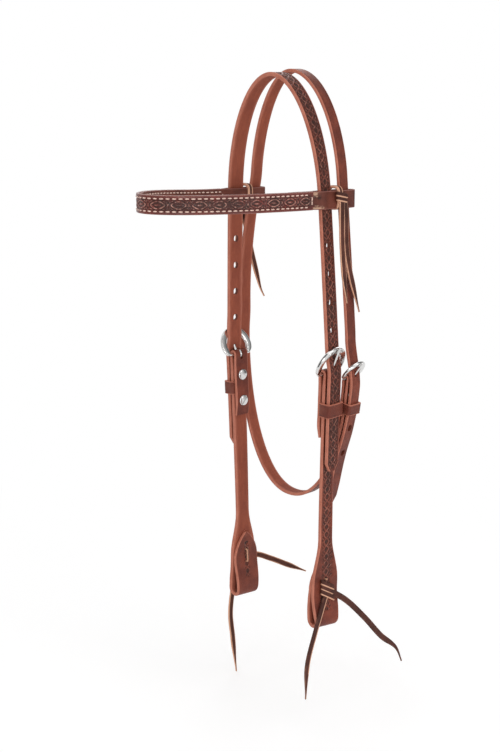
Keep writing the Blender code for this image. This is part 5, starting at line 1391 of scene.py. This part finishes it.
def stitch_rows(stations, grain, first, last):
    """Seats and axes of the stitches in two rows along a band, between two runs."""
    fine, along, thicks, run = along_band(stations)
    rows = []
    at = np.arange(math.ceil(first / STITCH_PITCH) + 0.5, last / STITCH_PITCH) * STITCH_PITCH
    for row in (1, -1):
        for place in at:
            centre = np.array([np.interp(place, run, fine[:, i]) for i in range(3)])
            ahead = np.array([np.interp(place, run, along[:, i]) for i in range(3)])
            ahead /= np.linalg.norm(ahead)
            up = np.array((0, 0, 1.0))
            up = up - ahead * ahead.dot(up)
            up /= np.linalg.norm(up)
            out = np.cross(ahead, up) * grain
            lift = np.interp(place, run, thicks) / 2 - STITCH_SINK
            seat = centre + up * row * (BROW_HEIGHT / 2 - STITCH_INSET) + out * lift
            rows.append((seat, ahead, up, out))
    return rows


def end_stitches(stations, grain, first, last):
    """Seats and axes of the upright stitches that close a band's seam near these two runs."""
    fine, along, thicks, run = along_band(stations)
    closing = []
    for place in (first, last):
        i = int(np.searchsorted(run, place))
        ahead = along[i] / np.linalg.norm(along[i])
        up = np.array((0, 0, 1.0))
        out = np.cross(ahead, up) * grain
        for level in (1, -1):
            seat = fine[i] + up * level * END_STITCH_RISE + out * (thicks[i] / 2 - STITCH_SINK)
            closing.append((seat, up, ahead, out))
    return closing


def run_along(stations):
    """How far along the stations' line each of them lies."""
    centres = np.array([station[0] for station in stations])
    return np.concatenate(([0], np.cumsum(np.linalg.norm(np.diff(centres, axis=0), axis=1))))


def make_browband():
    front = face_stations()
    face = lay_strap("browband_face_tooled", front, brow_tooling, columns=BROW_COLUMNS,
                     rounding=BROW_ROUND)
    # The raised tooling takes a pale pink: a painted highlight, with some rubbed leather
    face.data.materials.append(leather("brow_leather", BROW_TOOLED, BROW_DEEP, LINING_PLAIN, LINING_DEEP,
                                       BROW_EDGE, BROW_EDGE_DEEP, rubbed_highlight=BROW_RUBBED_HIGHLIGHT, roughness=0.25,
                                       gloss=0.30))
    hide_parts("browband_face")
    back = lining_stations()
    ran = run_along(back)
    looped = len(lining_line()[0])
    sewn = (ran[looped] - SEWN_LOOP, ran[-looped - 1] + SEWN_LOOP)

    def tooling(run, across):
        depth, dark, light = stitch_groove(run, across)
        held = ((run > sewn[0]) & (run < sewn[1])) * 1.0
        from_end = np.minimum(run, ran[-1] - run) - BROW_TUCK_LENGTH
        worn_end = WEAR_LENGTH - WEAR_SLANT * np.sign(across)
        fade = np.clip(from_end / WEAR_START, 0, 1) * np.clip(1 - (from_end - worn_end) / WEAR_FADE, 0, 1)
        wear = fade * np.clip((np.abs(across + WEAR_SHIFT) - WEAR_MIDDLE) / WEAR_REACH, 0, 1)
        notch = rounded(np.hypot((from_end - NOTCH_PLACE[0]) / 2, across - NOTCH_PLACE[1]), NOTCH_RADIUS)
        return (np.maximum(depth * held, notch * NOTCH_DEPTH), np.maximum(dark * held, notch),
                np.maximum(light, WEAR_BARE * wear * (1 - notch)))

    lining = lay_strap("browband_lining_sewn", back, tooling, columns=LINING_COLUMNS, grain=1,
                       rounding=BROW_ROUND)
    lining.data.materials.append(leather("lining_leather", LINING_PLAIN, LINING_DEEP, FLESH_SIDE_DEEP,
                                         LINING_DEEP, BROW_EDGE, BROW_EDGE_DEEP, rubbed_highlight=WORN_LINING,
                                         roughness=0.5))
    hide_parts("browband_lining")
    face_run = run_along(front)[-1]
    face_ends = (END_STITCH_INSET, face_run - END_STITCH_INSET)
    seams = (("browband_stitches_outside", front, -1, (STITCH_PITCH / 2, face_run), face_ends),
             ("browband_stitches_inside", back, 1, sewn, sewn))
    cream = thread("cream_thread")
    pieces = [face, lining]
    for name, stations, grain, rows, ends in seams:
        stitches = stitch_rows(stations, grain, *rows) + end_stitches(stations, grain, *ends)
        piece = sew(name, *zip(*stitches))
        piece.data.materials.append(cream)
        pieces.append(piece)
    for piece in pieces:
        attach(piece, "browband")


make_browband()

# Buckles
# Horseshoe frames of polished, nickel-plated steel with a round bar, wide flat rims and
# softened edges, each with a round wire tongue bent about the bar.
FRAME_HALF_WIDTH = 0.0162
THROAT_FRAME_HALF_WIDTH = 0.0114
THROAT_FRAME_THICK = 0.0026
FRAME_SHOULDER_SHARE = 0.32
FRAME_BAR_SHARE = 0.80
FRAME_CORNER_SHARE = 0.10
FRAME_NECK_SHARE = 0.5
FRAME_WAIST_SHARE = 0.7
FRAME_ARCH_STEPS = 18
FRAME_FINE_STEPS = 8
FRAME_SIDES = 24
RIM_FLATNESS = 4.0
RIM_INWARD = 1.85
RIM_OUTWARD = 0.82
TONGUE_WRAP = math.radians(285)
TONGUE_STEPS = 40
TONGUE_SIDES = 20
TONGUE_OVERHANG = 0.0012
TONGUE_RUN_SHARES = (0.1, 0.2, 0.4, 0.6, 0.8, 0.93, 0.96, 0.985, 1)
TONGUE_TIP_SHARES = (0.93, 0.78, 0.45)
NICKEL = (0.73, 0.725, 0.715)
NICKEL_HAZE_SHARE = 0.86
NICKEL_BRIGHT = 0.06
NICKEL_DULL = 0.19


def nickel(name):
    """Nickel plate, polished on a wheel: fine streaks, a little haze and small dents."""
    material, tree = new_material(name)
    place = add_node(tree, "TexCoord").outputs["Object"]
    wheel = add_node(tree, "Mapping", {0: place, 3: (900, 900, 7000)}).outputs[0]
    haze = add_node(tree, "TexNoise", {"Vector": place, "Scale": 240, "Detail": 3}).outputs["Fac"]
    streaks = add_node(tree, "TexNoise", {"Vector": wheel, "Scale": 1, "Detail": 2}).outputs["Fac"]
    dull = add_node(tree, "MapRange", {0: haze, 1: 0.35, 2: 0.7, 3: NICKEL_BRIGHT, 4: NICKEL_DULL})
    hazed = [part * NICKEL_HAZE_SHARE for part in NICKEL]
    tint = add_node(tree, "MixRGB", {0: haze, 1: (*NICKEL, 1), 2: (*hazed, 1)}).outputs[0]
    dents = add_node(tree, "Bump", {"Height": haze, "Distance": 0.00012, "Strength": 0.5})
    fine = add_node(tree, "Bump", {"Height": streaks, "Distance": 0.00001, "Strength": 0.5,
                                   "Normal": dents.outputs[0]})
    shader = add_node(tree, "BsdfPrincipled", {"Base Color": tint, "Metallic": 1.0,
                                               "Roughness": dull.outputs[0], "Normal": fine.outputs[0]})
    add_node(tree, "OutputMaterial", {0: shader.outputs[0]})
    return material


bright_nickel = nickel("bright_nickel")


def frame_outline(half_width, length):
    """Middle line of a horseshoe frame: (across, up, share of the rim's full section)."""
    shoulder = length * FRAME_SHOULDER_SHARE
    corner = length * FRAME_CORNER_SHARE
    bar = half_width * FRAME_BAR_SHARE
    line = [(bar - corner, 0, 0), (bar, corner / 2, FRAME_NECK_SHARE),
            (between(bar, half_width, FRAME_WAIST_SHARE), shoulder / 2, 1)]
    for step in range(FRAME_ARCH_STEPS + 1):
        angle = math.pi * step / FRAME_ARCH_STEPS
        line.append((half_width * math.cos(angle), between(shoulder, length, math.sin(angle)), 1))
    return line + [(-across, up, full) for across, up, full in line[2::-1]]


def forge_frame(name, axes, half_width, length, rim, thick, bar_radius, tilt):
    """A frame whose bar lies on the axes' y axis."""
    line = [Vector(point) for point in frame_outline(half_width, length)]
    loop = line + line[:1]
    points = smooth_line(loop, FRAME_FINE_STEPS)[:-1]
    lean = axes @ Matrix.Rotation(tilt, 4, "Y")
    rings = []
    for i, (across, up, full) in enumerate(points):
        ahead, behind = points[(i + 1) % len(points)], points[i - 1]
        along = Vector((0, ahead[0] - behind[0], ahead[1] - behind[1])).normalized()
        side = along.cross(Vector((1, 0, 0)))
        full = min(max(full, 0), 1)
        wide, deep = between(bar_radius, rim / 2, full), between(bar_radius, thick / 2, full)
        power = 2 / between(2, RIM_FLATNESS, full)
        ring = []
        for corner in range(FRAME_SIDES):
            angle = math.tau * corner / FRAME_SIDES
            x, y = math.cos(angle), math.sin(angle)
            spread = wide * math.copysign(abs(x) ** power, x)
            inward = side.dot(Vector((0, across, up - length / 2))) * spread < 0
            spread *= between(1, RIM_INWARD if inward else RIM_OUTWARD, full)
            out = Vector((0, across, up)) + side * spread
            ring.append(lean @ (out + Vector((deep * math.copysign(abs(y) ** power, y), 0, 0))))
        rings.append(ring)
    return skin(name, rings, closed=True)


def bend_tongue(name, axes, length, rim, radius, bar_radius, tilt):
    """A round wire wrapped about the bar and laid on the frame's rim."""
    ring_radius = bar_radius + BAR_CLEARANCE + radius
    line = []
    for step in range(TONGUE_STEPS + 1):
        angle = TONGUE_WRAP * (step / TONGUE_STEPS - 1)
        line.append(Vector((ring_radius * math.cos(angle), 0, ring_radius * math.sin(angle))))
    reach = length + rim / 2 + TONGUE_OVERHANG
    line += [Vector((ring_radius, 0, reach * share)) for share in TONGUE_RUN_SHARES]
    sizes = [1] * (len(line) - len(TONGUE_TIP_SHARES)) + list(TONGUE_TIP_SHARES)
    lean = axes @ Matrix.Rotation(tilt, 4, "Y")
    rings = []
    last = len(line) - 1
    for i, (centre, size) in enumerate(zip(line, sizes)):
        along = (line[min(i + 1, last)] - line[max(i - 1, 0)]).normalized()
        side = along.cross(Vector((0, 1, 0)))
        ring = []
        for corner in range(TONGUE_SIDES):
            angle = math.tau * corner / TONGUE_SIDES
            ring.append(lean @ (centre + side * (radius * size * math.cos(angle))
                                + Vector((0, radius * size * math.sin(angle), 0))))
        rings.append(ring)
    return skin(name, rings)


def place_buckle(strap, side, axes, half_width, length, rim, thick, bar_radius, tongue_radius, tilt):
    frame_node, tongue_node = strap + "_buckle_frame" + side, strap + "_buckle_tongue" + side
    outer = forge_frame(frame_node + "_polished", axes, half_width, length, rim, thick, bar_radius, tilt)
    tongue = bend_tongue(tongue_node + "_polished", axes, length, rim, tongue_radius, bar_radius, tilt)
    for piece, node, body in ((outer, frame_node, "frame_"), (tongue, tongue_node, "tongue_")):
        piece.data.materials.append(bright_nickel)
        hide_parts(node)
        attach(piece, body + strap + side)


for hand in (NEAR, FAR):
    place_buckle("cheek", "_" + SIDE_NAMES[hand], cheek_axes(0, hand, BAR_OFFSET), FRAME_HALF_WIDTH,
                 FRAME_LENGTH, FRAME_RIM, FRAME_THICK, BAR_RADIUS, TONGUE_RADIUS, FRAME_TILT)
place_buckle("throat", "", throat_axes(0, THROAT_BAR_OFFSET), THROAT_FRAME_HALF_WIDTH,
             THROAT_FRAME_LENGTH, THROAT_FRAME_RIM, THROAT_FRAME_THICK, THROAT_BAR_RADIUS,
             THROAT_TONGUE_RADIUS, THROAT_FRAME_TILT)

# Screws
# Binding posts that clamp each folded strap end: a flat-headed post from outside, and a domed,
# slotted screw that is turned in from the side of the horse.
POST_HEAD_THICK = 0.0013
BORE_RADIUS = 0.00175
SHANK_RADIUS = 0.0014
SCREW_HEAD_THICK = 0.0017
SHANK_LENGTH = 0.0055
BORE_CAP = 0.0006
SLOT_WIDTH = 0.0015
SLOT_DEPTH = 0.0013
SCREW_SIDES = 48
DOME_STEPS = 7
DOME_RIM_SHARE = 0.35
DOME_BEVEL_SHARES = (0.3, 0.97)
CENTRE_SHARE = 0.02
SCREW_TURNS = {"upper": math.radians(38), "lower": math.radians(-52)}


def turned(name, axes, profile):
    """A turned piece on the axes' x. The profile's points are (along, radius)."""
    turns = [math.tau * i / SCREW_SIDES for i in range(SCREW_SIDES)]
    rings = [[axes @ Vector((along, radius * math.cos(a), radius * math.sin(a))) for a in turns]
             for along, radius in profile]
    return skin(name, rings)


def domed(base, top, radius):
    """The outline of a low dome on a straight rim, from its top to its rim."""
    rim = between(base, top, DOME_RIM_SHARE)
    bevel, narrow = DOME_BEVEL_SHARES
    points = [(base, radius * narrow), (between(base, rim, bevel), radius)]
    for step in range(DOME_STEPS + 1):
        angle = math.pi / 2 * step / DOME_STEPS
        points.append((between(rim, top, math.sin(angle)), radius * max(math.cos(angle), CENTRE_SHARE)))
    return points[::-1]


def fasten(label, axes, leaf_thick, gap, back_thick, head_radius, turn):
    seat = leaf_thick / 2 + CLEARANCE
    back = -leaf_thick / 2 - gap - back_thick
    cap = seat - BORE_CAP
    barrel = [(seat, BARREL_RADIUS), (back, BARREL_RADIUS), (back, BORE_RADIUS), (cap, BORE_RADIUS),
              (cap, BORE_RADIUS * CENTRE_SHARE)]
    post = turned("screw_post_" + label + "_polished", axes,
                  domed(seat, seat + POST_HEAD_THICK, head_radius) + barrel)
    under = back - CLEARANCE
    top, end = under - SCREW_HEAD_THICK, under + SHANK_LENGTH
    shank = [(under, SHANK_RADIUS), (end, SHANK_RADIUS), (end, SHANK_RADIUS * CENTRE_SHARE)]
    screw = turned("screw_" + label + "_polished", axes, domed(under, top, head_radius) + shank)
    wide, reach = SLOT_WIDTH / 2, 2 * head_radius
    slot = [(-wide, -reach), (wide, -reach), (wide, reach), (-wide, reach)]
    spun = outward_axes(axes @ Matrix.Rotation(turn, 4, "X"))
    punch(screw, [(spun, slot, top - SLOT_DEPTH, top + SLOT_DEPTH)])
    for piece, node in ((post, "screw_post_" + label), (screw, "screw_" + label)):
        piece.data.materials.clear()
        piece.data.materials.append(bright_nickel)
        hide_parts(node)
        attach(piece, "straps")


for position, rise in (("upper", 0), ("lower", SCREW_PITCH)):
    for hand in (NEAR, FAR):
        fasten("cheek_{}_{}".format(position, SIDE_NAMES[hand]), cheek_axes(FIRST_SCREW + rise, hand),
               STRAP_THICK, LEAF_GAP, BACK_LEAF_THICK, HEAD_RADIUS, SCREW_TURNS[position])
    fasten("throat_" + position, throat_axes(THROAT_FIRST_SCREW + rise), THROAT_THICK, THROAT_LEAF_GAP,
           THROAT_BACK_THICK, THROAT_HEAD_RADIUS, SCREW_TURNS[position])

# Keepers
# Short leather loops that slide on the folded strap and hold the billet down. Each is one
# strip bent round a former, with its ends butted on the hidden side and pale cut edges.
KEEPER_HEIGHT = 0.0127
KEEPER_THICK = 0.0020
KEEPER_INNER_THICK = 0.0011
KEEPER_SIDE_ROOM = 0.0005
KEEPER_FRONT_ROOM = 0.0004
KEEPER_CORNER_SHARE = 0.45
KEEPER_CORNER_STEPS = 10
KEEPER_SIDE_STEPS = 14
KEEPER_COLUMNS = 15
KEEPER_EDGE_SHARE = 0.42
KEEPER_BURNISH_SHARE = 0.6
KEEPER_EDGE_PALE_MOST = 0.7
KEEPER_RUSSET = (0.185, 0.050, 0.031)
THROAT_KEEPER_THICK = 0.0018
THROAT_KEEPER_INNER_THICK = 0.0009


def keeper_outline(low, high, half, radius):
    """A rounded rectangle, from low to high in x and half either way in y."""
    middles = [(high - radius, half - radius), (low + radius, half - radius),
               (low + radius, radius - half), (high - radius, radius - half)]

    def corner_point(quarter, share):
        angle = math.pi / 2 * (quarter + share)
        x, y = middles[quarter % 4]
        return np.array((x + radius * math.cos(angle), y + radius * math.sin(angle)))

    outline = []
    for quarter in range(4):
        for step in range(KEEPER_CORNER_STEPS + 1):
            outline.append(corner_point(quarter, step / KEEPER_CORNER_STEPS))
        start, end = outline[-1], corner_point(quarter + 1, 0)
        outline += [between(start, end, step / KEEPER_SIDE_STEPS) for step in range(1, KEEPER_SIDE_STEPS)]
    return np.array(outline)


def bend_keeper(name, axes, width, thick, gap, head_gap, height, wall, inner_wall):
    """A strip bent round the strap's two leaves and the billet, with thinner leather behind."""
    low = -(thick + gap) / 2 + inner_wall / 2
    high = thick / 2 + head_gap + thick + KEEPER_FRONT_ROOM
    half = width / 2 + KEEPER_SIDE_ROOM
    radius = gap * KEEPER_CORNER_SHARE
    inner = keeper_outline(low, high, half, radius)
    outer = keeper_outline(low - inner_wall, high + wall, half + wall, radius + wall)
    run = np.concatenate(([0], np.cumsum(np.linalg.norm(np.diff(outer, axis=0), axis=1))))
    flat_z, round_z, flat_out, round_out, rim, flesh = strap_profile(KEEPER_COLUMNS)
    cut = inner_wall * KEEPER_EDGE_SHARE
    rise = height / 2
    z = flat_z * (rise - cut) + round_z * cut
    depth, dark, _ = creased(rise)(run[:, None], z[None, :KEEPER_COLUMNS])
    thickness = np.linalg.norm(outer - inner, axis=1)[:, None]
    share = (flat_out + 1) / 2 + (round_out - flat_out) * cut / thickness / 2
    share[:, :KEEPER_COLUMNS] -= depth / thickness
    plan = inner[:, None] + (outer - inner)[:, None] * share[..., None]
    points = np.concatenate((plan, np.broadcast_to(z, share.shape)[..., None]), axis=-1)
    turn = np.array(axes)
    points = points @ turn[:3, :3].T + turn[:3, 3]
    rows = np.ones_like(share)
    shade = np.zeros_like(share)
    shade[:, :KEEPER_COLUMNS] = dark
    pale = EDGE_PALE - (rise - np.abs(z)) / (KEEPER_BURNISH_SHARE * EDGE_ROUND)
    rims = np.maximum(rim * rows, np.clip(pale, 0, KEEPER_EDGE_PALE_MOST))
    maps = marked(shade, 0 * shade, rims, flesh * rows, run[:, None] * rows, z * rows)
    return skin(name, points, maps, closed=True)


def slip_on_keeper(label, body, axes, *sizes):
    keeper = bend_keeper(label + "_bent", axes, *sizes)
    keeper.data.materials.append(keeper_leather)
    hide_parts(label)
    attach(keeper, body)


keeper_leather = leather("keeper_leather", KEEPER_RUSSET, RUSSET_DEEP, *UNDYED)
for hand in (NEAR, FAR):
    slip_on_keeper("cheek_keeper_" + SIDE_NAMES[hand], "keeper_cheek_" + SIDE_NAMES[hand],
                   cheek_axes(FIRST_SCREW + SCREW_PITCH / 2, hand), STRAP_WIDTH, STRAP_THICK, LEAF_GAP,
                   HEAD_GAP, KEEPER_HEIGHT, KEEPER_THICK, KEEPER_INNER_THICK)
slip_on_keeper("throat_keeper", "keeper_throat", throat_axes(THROAT_FIRST_SCREW + SCREW_PITCH / 2),
               THROAT_WIDTH, THROAT_THICK, THROAT_LEAF_GAP, THROAT_HEAD_GAP, THROAT_KEEPER_HEIGHT,
               THROAT_KEEPER_THICK, THROAT_KEEPER_INNER_THICK)

# Ties
# Soft latigo thongs, dark on the face with pale cut edges. On each side one is knotted round
# the browband's loop between the two straps, and one laces the bit end shut. Their tails hang
# free and are cut to a point.
TIE_WIDTH = 0.0058
TIE_THICK = 0.0023
TIE_TIP_WIDTH = 0.0015
TIE_ROUND = 0.0005
TIE_PITCH = 0.0009
TIE_COLUMNS = 9
TIE_TAPER_SHARE = 0.7
TAIL_PITCH = 0.004
TAIL_THICK = 0.0017
SKIVE_WIDTH = 0.0013
BROW_TIE_BACK = 0.0110
BROW_KNOT_HEIGHT = 0.0078
BROW_KNOT_WIDTH = 0.0135
BROW_KNOT_RISE = 0.0022
BROW_KNOT_THICK = 0.0040
BROW_ARCH_RISE = 0.0014
BIT_LACE_RADIUS = 0.0009
BIT_KNOT_HEIGHT = 0.0150
BIT_KNOT_WIDTH = 0.0165
BIT_KNOT_THICK = 0.0042
BIT_KNOT_DROP = 0.0040
BROW_KNOT_SLOPE = 0.20
BIT_KNOT_SLOPE = 0.55
NEAR_TAIL_PALE = -1
WRAP_THICK = 0.0017
WRAP_ROUND = 0.0008
WRAP_STEPS = 48
WRAP_ROUNDNESS = 0.55
WRAP_PALE = (0, 0.0014)
LOOP_PALE = (0.0016, 0.0016)
WRAP_STEP_IN = 0.0002
WRAP_UNDER = 0.0004
WRAP_NARROW_SHARE = 0.06
WRAP_OVERLAP_SHARE = 1.08
LACE_PITCH = 0.0005
LACE_COLUMNS = 5
SKIVED_EDGE = 0.25
BROW_WRAPS = 2
BIT_WRAPS = 3
# Each tail's length, and where it runs from the knot as shares of that length: outward, back
# and down. They are chosen one by one, as each thong fell.
BROW_TAILS = {
    NEAR: ((0.095, ((0, 0, 0), (0.006, 0.002, 0.369), (0.011, 0.016, 0.576),
                    (0.016, 0.043, 0.795), (0.026, 0.067, 0.968))),
           (0.105, ((0, 0.03, 0), (-0.023, 0.075, 0.10), (-0.020, 0.082, 0.339),
                    (-0.013, 0.092, 0.472), (0.001, 0.115, 0.615), (0.015, 0.159, 0.783),
                    (0.015, 0.228, 0.973)))),
    FAR: ((0.105, ((0, 0, 0), (0.028, 0.129, 0.29), (0.04, 0.229, 0.594),
                   (0.04, 0.286, 0.766), (0.04, 0.34, 0.909), (0.04, 0.376, 0.966))),
          (0.085, ((0, 0, 0), (0.04, 0.04, 0.35), (0.06, 0.05, 0.7), (0.06, 0.06, 1))))}
BIT_TAILS = {
    NEAR: ((0.150, ((0, 0, 0), (0.014, 0.12, 0.08), (0.022, 0.33, 0.275), (0.030, 0.50, 0.46),
                    (0.037, 0.66, 0.605), (0.037, 0.71, 0.705))),
           (0.110, ((0, 0, 0), (0.022, -0.10, 0.17), (0.042, -0.19, 0.32),
                    (0.044, -0.28, 0.56), (0.036, -0.295, 0.90)))),
    FAR: ((0.110, ((0, 0, 0), (0, 0.20, 0.03), (0, 0.40, 0.125), (0, 0.61, 0.24), (0, 0.88, 0.385))),
          (0.125, ((0, 0, 0), (0, -0.077, 0.257), (0.004, -0.10, 0.457),
                   (0.004, -0.077, 0.67), (0.004, -0.037, 0.99))))}
LATIGO = (0.115, 0.038, 0.027)
LATIGO_DEEP = (0.062, 0.022, 0.016)
LATIGO_FLESH = (0.130, 0.050, 0.035)
LATIGO_EDGE = (0.80, 0.46, 0.31)
LATIGO_EDGE_DEEP = (0.60, 0.30, 0.19)

latigo = leather("latigo", LATIGO, LATIGO_DEEP, LATIGO_FLESH, LATIGO_DEEP, LATIGO_EDGE, LATIGO_EDGE_DEEP,
                 roughness=0.60, grain_depth=0.00009, gloss=0.15)


def hang_tails(label, start, side, tails):
    """The free ends of a tie, which narrow to a point."""
    pieces = []
    for number, (length, shares) in enumerate(tails, start=1):
        points = [start + Vector((out * side, back, -down)) * length for out, back, down in shares]
        fine = draw_out([(point, Vector((0, 1, 0)), 1, 1) for point in points], TAIL_PITCH)[0]
        line = [Vector(point) for point in fine]
        stations = []
        last = len(line) - 1
        for i, centre in enumerate(line):
            narrow = ease((i / last - TIE_TAPER_SHARE) / (1 - TIE_TAPER_SHARE))
            width = between(TIE_WIDTH, TIE_TIP_WIDTH, narrow)
            thick = between(TAIL_THICK, TIE_THICK / 2, narrow)
            along = (line[min(i + 1, last)] - line[max(i - 1, 0)]).normalized()
            stations.append((centre, Vector((0, along.z, -along.y)), width, thick))
        pieces.append(lay_strap("{}_tail_{}".format(label, number), stations, pitch=TIE_PITCH,
                                columns=TIE_COLUMNS, grain=-side, rounding=TIE_ROUND))
    return pieces


def skive(tail, hand):
    """Pales a strip along one edge of a tail's face and leaves its other edge dyed, or dyes
    both edges if there is no hand."""
    run, edge = tail.data.uv_layers["run"].data, tail.data.uv_layers["edge"].data
    places, shades = np.empty(2 * len(run), np.float32), np.empty(2 * len(edge), np.float32)
    run.foreach_get("uv", places)
    edge.foreach_get("uv", shades)
    across = places[1::2] * hand
    dyed = np.where(across <= 0, np.minimum(shades[::2], SKIVED_EDGE), shades[::2])
    shades[::2] = np.where(across > TIE_WIDTH / 2 - SKIVE_WIDTH, 1, dyed)
    edge.foreach_set("uv", shades)


def wrap_band(name, axes_at, low, high, half, width, thick, pale=WRAP_PALE):
    """A flat thong wrapped round once, as a closed band: low and high are how far out its two
    sides lie, half is how far it reaches either way. The axes come from how far round it is.
    Pale is how wide the skived, pale strip is along its upper and its lower edge."""
    cut = WRAP_ROUND
    rings, maps = [], {"tooling": [], "edge": [], "run": []}
    middle, deep = (low + high) / 2, (high - low) / 2
    for step in range(WRAP_STEPS):
        angle = math.tau * step / WRAP_STEPS
        x_share = math.copysign(abs(math.cos(angle)) ** WRAP_ROUNDNESS, math.cos(angle))
        y_share = math.copysign(abs(math.sin(angle)) ** WRAP_ROUNDNESS, math.sin(angle))
        ring = []
        for flat_z, round_z, flat_out, round_out, edge, inner in strap_profile(TIE_COLUMNS).T:
            z = flat_z * (width / 2 - cut) + round_z * cut
            out = -thick / 2 + flat_out * (thick / 2 - cut) + round_out * cut
            y = y_share * (half + out)
            ring.append(axes_at(y) @ Vector((middle + x_share * (deep + out), y, z)))
            strip = pale[0] if z > 0 else pale[1]
            maps["tooling"].append((0, 0))
            maps["edge"].append((max(edge * (strip > 0), (width / 2 - abs(z) < strip) * 1.0), inner))
            maps["run"].append((angle * half, z))
        rings.append(ring)
    return skin(name, rings, maps, closed=True)


def tie_knot(label, axes_at, base, height, width, thick, wraps, slope):
    """Wraps side by side across the face, each bound a little over the one before."""
    pieces = []
    for number in range(wraps):
        fall = height * ((number + 0.5) / wraps - 0.5)
        low = base + WRAP_STEP_IN * number
        high = base + thick - WRAP_UNDER * (number % 2)
        half = width / 2 * (1 - WRAP_NARROW_SHARE * (number % 2))
        pieces.append(wrap_band("{}_wrap_{}".format(label, number + 1), lambda y: axes_at(fall + y * slope),
                                low, high, half, height / wraps * WRAP_OVERLAP_SHARE, WRAP_THICK))
    return pieces


def finish_tie(pieces, node, body):
    for piece in pieces:
        piece.data.materials.append(latigo)
        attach(piece, body)
    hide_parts(node)


def tie_browband(side):
    label = "browband_tie_" + SIDE_NAMES[side]
    outer_x, inner_x, _, _ = brow_loop_sizes()
    level = brow_place(side * outer_x, BROW_TIE_BACK).z
    margin = BROW_LINING_THICK / 2 + CLEARANCE + TIE_THICK / 2
    near_x, far_x = outer_x + margin, inner_x - margin
    flip = Matrix.Diagonal((side, 1, 1, 1))
    place = flip @ Matrix.Translation(((near_x + far_x) / 2, BROW_TIE_BACK, level))
    stand = place @ Matrix(((0, 1, 0, 0), (0, 0, 1, 0), (1, 0, 0, 0), (0, 0, 0, 1)))
    high = BROW_HEIGHT / 2 + CLEARANCE + TIE_THICK
    reach = (near_x - far_x) / 2 + TIE_THICK / 2
    loop = wrap_band(label + "_loop", lambda y: stand, BROW_ARCH_RISE - high, high + BROW_ARCH_RISE, reach,
                     TIE_WIDTH, TIE_THICK, LOOP_PALE)
    axes = side_axes(side, Vector((near_x, BROW_TIE_BACK, level + BROW_KNOT_RISE)), Vector((0, 0, -1)), 0)
    knot = tie_knot(label, lambda fall: axes @ Matrix.Translation((0, 0, -fall)), 0, BROW_KNOT_HEIGHT,
                    BROW_KNOT_WIDTH, BROW_KNOT_THICK, BROW_WRAPS, BROW_KNOT_SLOPE)
    start = Vector(((near_x + BROW_KNOT_THICK / 2) * side, BROW_TIE_BACK, level))
    tails = hang_tails(label, start, side, BROW_TAILS[side])
    finish_tie([loop, *knot, *tails], label, "browband")


def tie_bit_end(side):
    label = "bit_tie_" + SIDE_NAMES[side]
    high, low = bit_hole_drops()
    middle = (low + high) / 2 + BIT_KNOT_DROP
    base = STRAP_THICK / 2 + CLEARANCE
    knot = tie_knot(label, lambda fall: cheek_axes(middle + fall, side), base, BIT_KNOT_HEIGHT,
                    BIT_KNOT_WIDTH, BIT_KNOT_THICK, BIT_WRAPS, BIT_KNOT_SLOPE)
    tip_drop = CHEEK_LENGTH - BIT_FLAP_LENGTH
    fold_drop = CHEEK_LENGTH - STRAP_THICK / 2 - BIT_FOLD_RADIUS
    turn = BIT_LACE_RADIUS
    route = []
    for drop, inside in ((high, turn), (low, -turn)):
        inner = flap_offset((drop - tip_drop) / (fold_drop - tip_drop)) - BIT_FLAP_THICK / 2
        inner -= CLEARANCE + turn
        leg = [(base + turn, drop), (base - 2 * turn, drop), (inner + turn, drop),
               (inner + 0.3 * turn, drop + 0.3 * inside), (inner, drop + inside),
               (inner, drop + 2 * inside), (inner, drop + 3 * inside)]
        route += leg if drop == high else leg[::-1]
    stations = [station_on(cheek_axes(drop, side), offset, 2 * turn, 2 * turn) for offset, drop in route]
    lace = lay_strap(label + "_lace", stations, pitch=LACE_PITCH, columns=LACE_COLUMNS, grain=1,
                     rounding=TIE_ROUND)
    start = cheek_axes(middle, side) @ Vector((base + BIT_KNOT_THICK / 2, 0, 0))
    tails = hang_tails(label, start, side, BIT_TAILS[side])
    if side == NEAR:
        skive(tails[0], 0)
        skive(tails[1], NEAR_TAIL_PALE)
    finish_tie([*knot, lace, *tails], label, "straps")


for hand in (NEAR, FAR):
    tie_browband(hand)
    tie_bit_end(hand)
